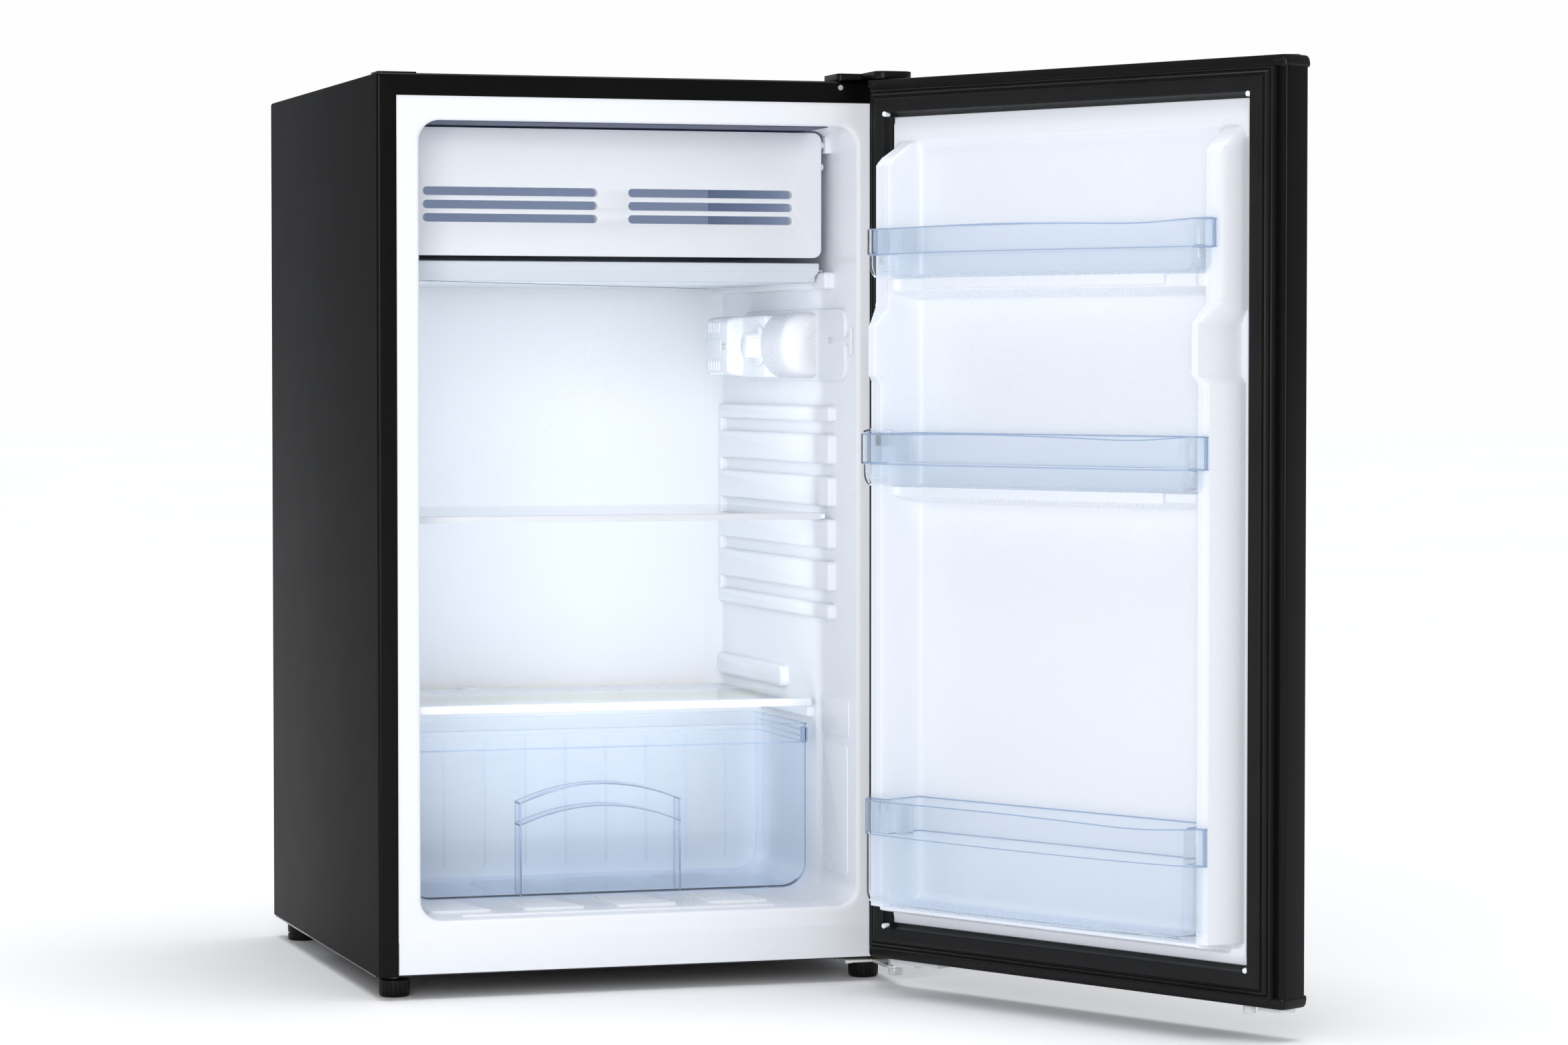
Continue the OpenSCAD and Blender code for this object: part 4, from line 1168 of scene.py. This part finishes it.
@dataclass
class DoorSeal:
    """The ribbed magnetic seal with mitred corners."""

    outer: float = 10.0
    low: float = 38.0
    high: float = 837.0

    def section(self) -> np.ndarray:
        """Rows (distance inwards from the outer edge, height off the door) of the seal's closed section."""
        return np.array([
            [0.2, 2.0], [0.0, 5.0], [0.4, 7.0], [1.4, 7.8], [2.2, 6.6], [2.8, 6.4], [3.6, 8.6], [4.6, 10.4],
            [5.6, 11.2], [6.4, 9.8], [7.2, 9.6], [8.2, 11.8], [9.6, 12.8], [12.0, 13.0], [17.0, 13.0],
            [20.6, 12.9], [21.4, 12.2], [21.8, 10.6], [22.6, 8.2], [24.0, 6.0], [25.4, 4.6], [26.0, 3.4],
            [26.0, 2.0]])

    def build(self) -> None:
        """Carries the section round the door. Each row is a rectangle, so the corners are mitred."""
        rings = []
        heights = []
        for across, high in self.section():
            a = self.outer + across
            rings.append(rounded_loop((a, self.low + across), (500.0 - a, self.high - across), 0.4, 1))
            heights.append(high)
        grid = stack_rings(rings, heights, Axis.BACK)
        shape = Shape("seal_profile", PLACES.door)
        shape.add(grid, ends=False, loop=True)
        settle(shape.build(28), SEAL_RUBBER, "door", ["door_gasket"])


@dataclass
class DoorLiner:
    """The white door liner: two bead walls, lugs, ledges and a recess, as one height field."""

    low: float = 40.0
    high: float = 835.0
    edge: float = 12.0
    base: float = 5.4
    rim: float = 1.7
    sunk: float = 4.6

    @staticmethod
    def crest(z: np.ndarray) -> tuple[np.ndarray, np.ndarray]:
        """The bead wall's crest along the height.

        Args:
            z: heights.

        Returns:
            The crest's distance from the door's edge, and its height off the door.
        """
        at = [78.0, 84.0, 566.0, 573.0, 617.0, 634.0, 640.0, 765.0, 772.0, 790.0]
        edge = [52.0, 47.6, 47.6, 53.0, 53.0, 44.5, 43.5, 43.5, 44.5, 52.0]
        rise = [4.0, 45.0, 45.0, 54.0, 54.0, 37.0, 35.0, 35.0, 29.0, 3.0]
        return np.interp(z, at, edge), np.interp(z, at, rise)

    def height(self, s: np.ndarray, z: np.ndarray) -> np.ndarray:
        """Height off the door's inner face at (s, z).

        It is the base plus the bead wall, which rises steeply from the seal, is level along its crest and
        falls to the panel between the walls, plus the ledges under the bins.

        Args:
            s: distance from the hinge edge.
            z: height.

        Returns:
            The height off the door.
        """
        side = np.minimum(s, 500.0 - s)
        edge, rise = self.crest(z)
        foot = np.maximum(edge - 7.5, 38.9)
        up = np.clip((side - foot) / (edge - foot), 0, 1)
        down = 1.0 - smooth_step(side, 60.5, 69.0)
        wall = np.maximum(rise - self.base, 0.0) * np.minimum(up, down)
        wall *= 1.0 - 0.012 * smooth_step(np.abs(side - 57.0), 3.0, 6.0)
        panel = smooth_step(side, 67.0, 74.0)
        inside = smooth_step(side, 36.3, 38.6) * smooth_step(z, 64.3, 67.0)
        inside *= 1.0 - smooth_step(z, 808.0, 810.8)
        ledges = np.zeros_like(wall)
        for low, high, out in ((645.0, 664.5, 31.0), (458.0, 474.5, 31.0), (76.0, 88.0, 40.0)):
            bump = smooth_step(z, low - 3.0, low + 6.0) * (1.0 - smooth_step(z, high - 4.0, high))
            ledges = np.maximum(ledges, out * bump * smooth_step(side, 52.0, 60.0))
        recess = panel * (1.0 - smooth_step(z, 782.0, 789.0)) * smooth_step(z, 88.0, 96.0)
        return self.rim + inside * (self.base - self.rim + np.maximum(wall, ledges) - self.sunk * recess)

    @staticmethod
    def spread(marks: Sequence[tuple[float, float]], step: float) -> np.ndarray:
        """Grid lines that are close together inside the marked spans and wide apart elsewhere.

        Args:
            marks: pairs of (end of span, spacing up to there), from low to high.
            step: the first line.

        Returns:
            Increasing grid lines.
        """
        lines = [step]
        for end, spacing in marks:
            count = max(int(round((end - lines[-1]) / spacing)), 1)
            lines += list(np.linspace(lines[-1], end, count + 1)[1:])
        return np.array(lines)

    def build(self) -> None:
        """Builds the height field with a skirt and a flat back, as one closed shell."""
        near = self.spread([(36.0, 8.0), (62.0, 0.9), (78.0, 1.6), (250.0, 14.0)], self.edge)
        s = np.concatenate([near, 500.0 - near[-2::-1]])
        z = self.spread([(72.0, 8.0), (98.0, 0.8), (452.0, 12.0), (478.0, 0.7), (560.0, 10.0), (578.0, 1.0),
                         (612.0, 6.0), (668.0, 0.7), (760.0, 10.0), (796.0, 1.0), (self.high, 8.0)], self.low)
        sm, zm = np.meshgrid(s, z)
        top = np.stack([sm, self.height(sm, zm), zm], -1)
        back = top.copy()
        back[..., 1] = 0.2
        shape = Shape("door_panel", PLACES.door)
        shape.add(np.concatenate([top, back[:, ::-1]], 1), ends=False)
        n = 2 * len(s)
        first = list(range(n))
        last = [(len(z) - 1) * n + k for k in range(n)]
        shape.faces += [tuple((row[k], row[k + 1], row[n - 2 - k], row[n - 1 - k]))
                        for row in (first, last) for k in range(len(s) - 1)]
        settle(shape.build(50), DOOR_WHITE, "door", ["door_liner"])


@dataclass
class DoorBin:
    """A clear bin: a bowed front outside the bead walls and a narrower back between them."""

    name: str
    node: str
    body: str
    low: float
    split: float
    high: float
    crest: float
    front: float
    bow: float
    capped: bool = False
    wall: float = 2.0
    lift: float = 2.4

    def plan(self, inset: float = 0.0, points: int = 28) -> np.ndarray:
        """The bin's outline as a closed loop of (s, d): straight ends, a bowed front and a stepped back.

        The front is d = front + bow * sin(pi * u) ^ 0.8 between rounded corners.

        Args:
            inset: distance inwards. The front and the step move in by less when it is large.
            points: points along the bowed front.

        Returns:
            The loop, anticlockwise in (s, d).
        """
        near, far = 47.0 + inset, 453.0 - inset
        front = self.front - min(inset, 6.0)
        ledge = self.crest + 1.5 + min(inset, 2.4)
        r = min(13.0 - inset, front - ledge - 0.5)
        turn = np.linspace(0, math.pi / 2, 6)
        u = np.linspace(0, 1, points)
        s = far - r + (near - far + 2 * r) * u
        d = front + self.bow * np.sin(math.pi * u) ** 0.8
        corner_far = np.stack([far - r + r * np.cos(turn), front - r + r * np.sin(turn)], -1)
        corner_near = np.stack([near + r - r * np.sin(turn), front - r + r * np.cos(turn)], -1)
        half = np.array([[47.0, ledge - inset], [69.0, ledge - inset], [70.0, ledge - 1.0 - inset],
                         [70.0, 6.0], [71.5, 4.4]]) + inset
        back = np.concatenate([half, half[::-1] * [-1.0, 1.0] + [500.0, 0.0]])
        bowed = np.stack([s, d], -1)[1:-1]
        return np.concatenate([corner_far, bowed, corner_near, back])

    def wave(self, plan: np.ndarray) -> np.ndarray:
        """How far the rim stands above its mean height along the plan."""
        at = [47.0, 90.0, 160.0, 230.0, 310.0, 385.0, 425.0, 453.0]
        up = [-0.8, -0.8, 0.2, 0.6, -0.8, -3.0, -1.0, 1.6]
        fine = np.linspace(40.0, 460.0, 80)
        soft = np.convolve(np.pad(np.interp(fine, at, up), 4, "edge"), np.ones(9) / 9, "valid")
        forward = smooth_step(plan[:, 1], self.crest - 4.0, self.crest + 8.0)
        return np.interp(plan[:, 0], fine, soft) * forward

    def vessel(self) -> np.ndarray:
        """Rings from the underside, up the stepped outside, over the rim and down to the inner floor.

        Returns:
            A grid to be closed at both ends.
        """
        wave = self.wave(self.plan())
        low, split, high, t = self.low, self.split, self.high, self.wall
        b = self.lift
        turn = np.linspace(0.0, math.pi / 2, 7)
        round_out = [(b + 6.0 * (1 - math.sin(a)), low + 12.0 * (1 - math.cos(a)), 0) for a in turn]
        round_in = [(t + i, z + t * math.cos(a), 0) for (i, z, _), a in zip(round_out, turn)]
        rows = round_out + [(b, split - 1.0, 0), (b - 0.8, split, 0), (0.3, split + 0.2, 0.1),
                            (0.0, split + 1.2, 0.1), (0.0, high - 0.8, 1), (0.5, high, 1), (t - 0.5, high, 1),
                            (t, high - 0.8, 1), (t, split + 2.0, 0.1), (t + b * 0.9, split - 1.0, 0),
                            (t + b, split - 3.0, 0)] + round_in[::-1]
        rings = [self.plan(i) for i, _, _ in rows]
        return stack_rings(rings, [z + w * wave for _, z, w in rows], Axis.UP)

    def clips(self, shape: Shape) -> None:
        """Adds the snap hook's ribs at the hinge end and a post at the free end.

        The hinge end has a rear leaf between the ribs. The free end has only the post and a short leaf.

        Args:
            shape: the piece to add to.
        """
        z0, z1 = self.split + 2.5, self.high - 1.5
        for s, width, back, front in ((64.0, 1.4, 3.0, 2.0), (76.0, 1.6, 3.0, 3.0), (98.0, 1.4, 3.0, 5.2),
                                      (104.0, 1.4, 3.0, 5.6)):
            shape.add(block((s, self.crest + back, z0), (s + width, self.front + front, z1), 0.5, 0.5))
        shape.add(block((50.0, self.crest + 2.8, z0), (105.0, self.crest + 4.4, z1), 0.6, 0.5))
        shape.add(block((440.0, self.crest + 2.8, z0), (451.0, self.crest + 4.4, z1 + 2.0), 0.6, 0.5))
        shape.add(block((437.0, self.crest + 4.0, z0), (438.6, self.front + 1.0, z1 + 1.0), 0.6, 0.5))

    def lug_cover(self, shape: Shape) -> None:
        """Adds the raised cap over the hinge-end hook, with its slanted ribs.

        The cap's top is an arc over the end: z = rim + 3 + 3 * sin(pi * u).

        Args:
            shape: the piece to add to.
        """
        u = np.linspace(0.0, 1.0, 13)
        s = 49.0 + 44.0 * u
        top = self.high + 2.0 + 2.6 * np.sin(math.pi * np.minimum(u * 1.4, 1.0))
        near, far = self.crest + 2.6, self.front - 9.0
        rows = [np.stack([s, np.full_like(s, d), top + lift], -1)
                for d, lift in ((near, -1.6), (near, 0.0), (far, 0.0), (far, -1.6))]
        shape.add(np.stack(rows, 1), wrap=True, ends=True)
        for s0 in (62.0, 72.0, 82.0):
            shape.add(block((s0, near, self.high - 12.0), (s0 + 1.3, far, self.high + 1.6), 0.5, 0.4))

    def edges(self) -> None:
        """Builds the deeper-coloured bead along the rim, the one along the ledge and the two end posts."""
        wave = self.wave(self.plan())
        shape = Shape(self.name + "_edges", PLACES.door)
        for z, share, high in ((self.high - 0.9, 1.0, 1.2), (self.split - 0.2, 0.1, 1.0)):
            rows = [(0.3, 0.0), (-0.15, 0.15), (-0.15, high - 0.15), (0.3, high)]
            shape.add(stack_rings([self.plan(i) for i, _ in rows], [z + up + share * wave for _, up in rows],
                                  Axis.UP), ends=False, loop=True)
        for s0 in (47.0, 450.6):
            shape.add(block((s0, self.crest + 2.0, self.split + 0.5), (s0 + 2.4, self.crest + 5.0, self.high),
                            0.9, 0.6))
        settle(shape.build(34), EDGE_BLUE, self.body)

    def build(self) -> None:
        """Builds the bin and its clips."""
        self.edges()
        shape = Shape(self.name, PLACES.door)
        shape.add(self.vessel())
        self.clips(shape)
        if self.capped:
            self.lug_cover(shape)
        settle(shape.build(34), CLEAR_BLUE, self.body, [self.node])


@dataclass
class DoorLedges:
    """The thin rails that hold the upper and middle bins."""

    rails: tuple[tuple[float, float], ...] = ((652.0, 661.2), (462.0, 471.2))

    def build(self) -> None:
        """Builds both rails in one piece."""
        shape = Shape("bin_rails", PLACES.door)
        for low, high in self.rails:
            shape.add(block((107.0, 30.0, low), (393.0, 37.0, high), 1.2, 0.8))
        settle(shape.build(), DOOR_WHITE, "door")


@dataclass
class CornerPlugs:
    """Small white plugs at the seal's inner corners."""

    places: tuple[tuple[float, float], ...] = ((33.0, 61.0), (467.0, 61.0), (33.0, 814.0), (467.0, 814.0))

    def build(self) -> None:
        """Turns four round plugs."""
        profile = np.array([[2.4, 7.0], [2.5, 12.6], [2.2, 13.4], [1.4, 13.8], [0.5, 13.9]])
        shape = Shape("plug_heads", PLACES.door)
        for s, z in self.places:
            shape.add(turned(profile, (s, z), Axis.BACK, around=24))
        settle(shape.build(), PART_WHITE, "door", ["corner_plugs"])


# ---------------------------------------------------------------- studio


@dataclass
class Studio:
    """The floor, the lights and the camera."""

    lens: float = 102.86
    camera_at: tuple[float, float, float] = (-888.9, -4037.0, 579.9)
    pitch: float = 88.018
    yaw: float = -17.410

    def floor(self) -> None:
        """A wide pale floor. Its rings widen outwards, so that its edge is far behind the fridge."""
        reach = np.array([0.05, 600.0, 1500.0, 4000.0, 12000.0, 40000.0])
        turn = np.linspace(0, 2 * math.pi, 48, endpoint=False)
        grid = np.stack([250.0 + reach[:, None] * np.cos(turn), 250.0 + reach[:, None] * np.sin(turn),
                         np.zeros((len(reach), len(turn)))], -1)
        shape = Shape("floor", PLACES.cabinet)
        shape.add(grid, ends=False)
        obj = shape.build(outward=False)
        dress(obj, Finish("floor_paint", (0.93, 0.93, 0.935), 0.004, 0.8, 0.02, fine=60, bump=0.0, shine=0.1))

    @staticmethod
    def lamp(name: str, at: Sequence[float], aim: Sequence[float], size: tuple[float, float], power: float,
             colour: Sequence[float] = (1.0, 1.0, 1.0)) -> None:
        """Hangs one soft rectangular lamp.

        Args:
            name: the lamp's name.
            at: its place in metres.
            aim: the point it faces.
            size: its width and height in metres.
            power: its power in watts.
            colour: its colour.
        """
        data = bpy.data.lights.new(name, "AREA")
        data.shape = "RECTANGLE"
        data.size = size[0]
        data.size_y = size[1]
        data.energy = power
        data.color = colour
        obj = bpy.data.objects.new(name, data)
        bpy.context.collection.objects.link(obj)
        obj.location = at
        way = np.array(aim, float) - np.array(at, float)
        tilt = math.acos(-way[2] / np.linalg.norm(way))
        obj.rotation_euler = (tilt, 0.0, math.atan2(way[1], way[0]) - math.pi / 2)

    def surround(self) -> None:
        """A white surround: plain white where it is seen, softer where it only lights."""
        world = bpy.data.worlds.new("studio")
        bpy.context.scene.world = world
        world.use_nodes = True
        tree = world.node_tree
        soft = tree.nodes["Background"]
        soft.inputs["Color"].default_value = (0.93, 0.955, 1.0, 1.0)
        soft.inputs["Strength"].default_value = 0.46
        plain = tree.nodes.new("ShaderNodeBackground")
        plain.inputs["Color"].default_value = (0.99, 0.99, 0.99, 1.0)
        path = tree.nodes.new("ShaderNodeLightPath")
        mix = tree.nodes.new("ShaderNodeMixShader")
        tree.links.new(path.outputs["Is Camera Ray"], mix.inputs["Fac"])
        tree.links.new(soft.outputs["Background"], mix.inputs[1])
        tree.links.new(plain.outputs["Background"], mix.inputs[2])
        tree.links.new(mix.outputs["Shader"], tree.nodes["World Output"].inputs["Surface"])

    def lights(self) -> None:
        """Sets a soft lamp in front, a wide overhead light for the floor and one behind the opening."""
        self.lamp("front", (-1.5, -4.1, 1.15), (0.25, 0.2, 0.45), (1.8, 1.8), 62.0, (1.0, 0.99, 0.97))
        self.lamp("freezer", (0.228, 0.058, 0.745), (0.228, 1.0, 0.745), (0.34, 0.07), 0.085,
                  (0.85, 0.9, 1.0))
        self.lamp("inside", (0.228, 0.066, 0.40), (0.228, 1.0, 0.40), (0.36, 0.54), 0.54, (0.96, 0.98, 1.0))
        over = bpy.data.lights.new("overhead", "SUN")
        over.energy = 2.1
        over.angle = math.radians(50.0)
        bpy.context.collection.objects.link(bpy.data.objects.new("overhead", over))
        bpy.context.scene.view_settings.view_transform = "Standard"

    def camera(self) -> None:
        """Places the camera in front of the fridge and to its left."""
        data = bpy.data.cameras.new("camera")
        data.sensor_width = 36.0
        data.lens = self.lens
        data.clip_end = 50.0
        obj = bpy.data.objects.new("camera", data)
        bpy.context.collection.objects.link(obj)
        obj.location = [v * MM for v in self.camera_at]
        obj.rotation_euler = (math.radians(self.pitch), 0.0, math.radians(self.yaw))
        bpy.context.scene.camera = obj

    def build(self) -> None:
        """Builds the studio."""
        self.floor()
        self.surround()
        self.lights()
        self.camera()


# ---------------------------------------------------------------- carried-over nodes


@dataclass(frozen=True)
class Soft:
    """A CAD node that is shown with rounded edges."""

    node: str
    finish: Finish
    body: str
    slot: str
    width: float = 0.6


SOFT_NODES = (
    Soft("freezer_flap", PART_WHITE, "freezer_flap", "white_plastic", 0.7),
    Soft("flap_brackets", PART_WHITE, "cabinet", "white_plastic", 0.6),
    Soft("switch_plunger", PART_WHITE, "light_switch", "white_plastic", 0.4),
    Soft("shelf_trim", PART_WHITE, "shelf", "white_plastic", 0.5),
    Soft("crisper_trim", PART_WHITE, "crisper_cover", "white_plastic", 0.5),
    Soft("hinge_cover", CAP_BLACK, "cabinet", "black_plastic", 0.7),
    Soft("hinge_hole_cap", CAP_BLACK, "cabinet", "black_plastic", 0.5),
    Soft("bottom_hinge_bracket", ZINC, "cabinet", "zinc", 0.5),
    Soft("bottom_hinge_nut", ZINC, "cabinet", "zinc", 0.5),
    Soft("door_stop", STOP_GREY, "door", "grey_plastic", 0.6),
    Soft("spare_fittings", STOP_GREY, "door", "grey_plastic", 0.6),
    Soft("relay_cover", CAP_BLACK, "cabinet", "black_plastic", 0.8),
    Soft("evaporation_tray", CAP_BLACK, "cabinet", "black_plastic", 0.6),
    Soft("evaporator", ALUMINIUM_SHADE_TINTED, "cabinet", "aluminium", 0.6),
)

CAD_FINISHES = {
    "back_panel": PLAIN_SHEET, "bay_panel": PLAIN_SHEET, "compressor_plate": PLAIN_SHEET,
    "cabinet_foam": FOAM, "door_foam": FOAM, "base_pan": BLACK_STEEL, "compressor": BLACK_STEEL,
    "compressor_grommets": SEAL_RUBBER, "condenser_coil": COPPER, "filter_drier": COPPER,
    "discharge_tube": COPPER, "suction_tube": COPPER, "drain_tube": PART_WHITE,
    "thermostat_body": PLAIN_SHEET, "lamp_holder": PART_WHITE, "lamp_bulb": BULB_GLASS,
    "housing_screw": ZINC, "shelf_glass": SHEET_GLASS, "crisper_glass": SHEET_GLASS,
    "left_foot_stud": ZINC, "right_foot_stud": ZINC, "top_hinge_bracket": ZINC, "top_hinge_pin": ZINC,
    "hinge_screws": ZINC, "bottom_hinge_pin": ZINC, "cord_gland": CAP_BLACK,
}


DOOR_BINS = (
    DoorBin("upper_bin_clear", "upper_bin", "upper_bin", low=662.0, split=683.0, high=707.0,
            crest=35.0, front=57.0, bow=13.0),
    DoorBin("middle_bin_clear", "middle_bin", "middle_bin", low=472.0, split=492.0, high=520.0,
            crest=45.0, front=65.0, bow=12.0, capped=True),
    DoorBin("lower_bin_clear", "lower_bin", "lower_bin", low=88.0, split=152.0, high=184.0,
            crest=45.0, front=58.0, bow=13.0, capped=True),
)


def build_all() -> None:
    """Builds every sub-assembly in order."""
    CabinetShell().build()
    Liner().build()
    LowerRail().build()
    Foot("left_knob", "left_foot", "left_foot_knob", (22.0, 36.0)).build()
    Foot("right_knob", "right_foot", "right_foot_knob", (478.0, 36.0)).build()
    RearFeet().build()
    CoolingControls().build()
    FreezerTop().build()
    DripTray().build()
    CrisperDrawer().build()
    DoorSkin().build()
    DoorCap("upper_cap", "door_top_cap", 837.0, 847.0, True).build()
    DoorCap("lower_cap", "door_bottom_cap", 28.5, 38.5, False).build()
    DoorSeal().build()
    DoorLiner().build()
    DoorLedges().build()
    CornerPlugs().build()
    for bin_maker in DOOR_BINS:
        bin_maker.build()
    for item in SOFT_NODES:
        softened(item.node, item.finish, item.body, item.width)
    for node, finish in CAD_FINISHES.items():
        dress(frame["nodes"][node], finish)
    Studio().build()


def main() -> None:
    """Builds the fridge."""
    logging.basicConfig(level=logging.INFO, format="%(name)s: %(message)s")
    build_all()


if __name__ == "__main__":
    main()
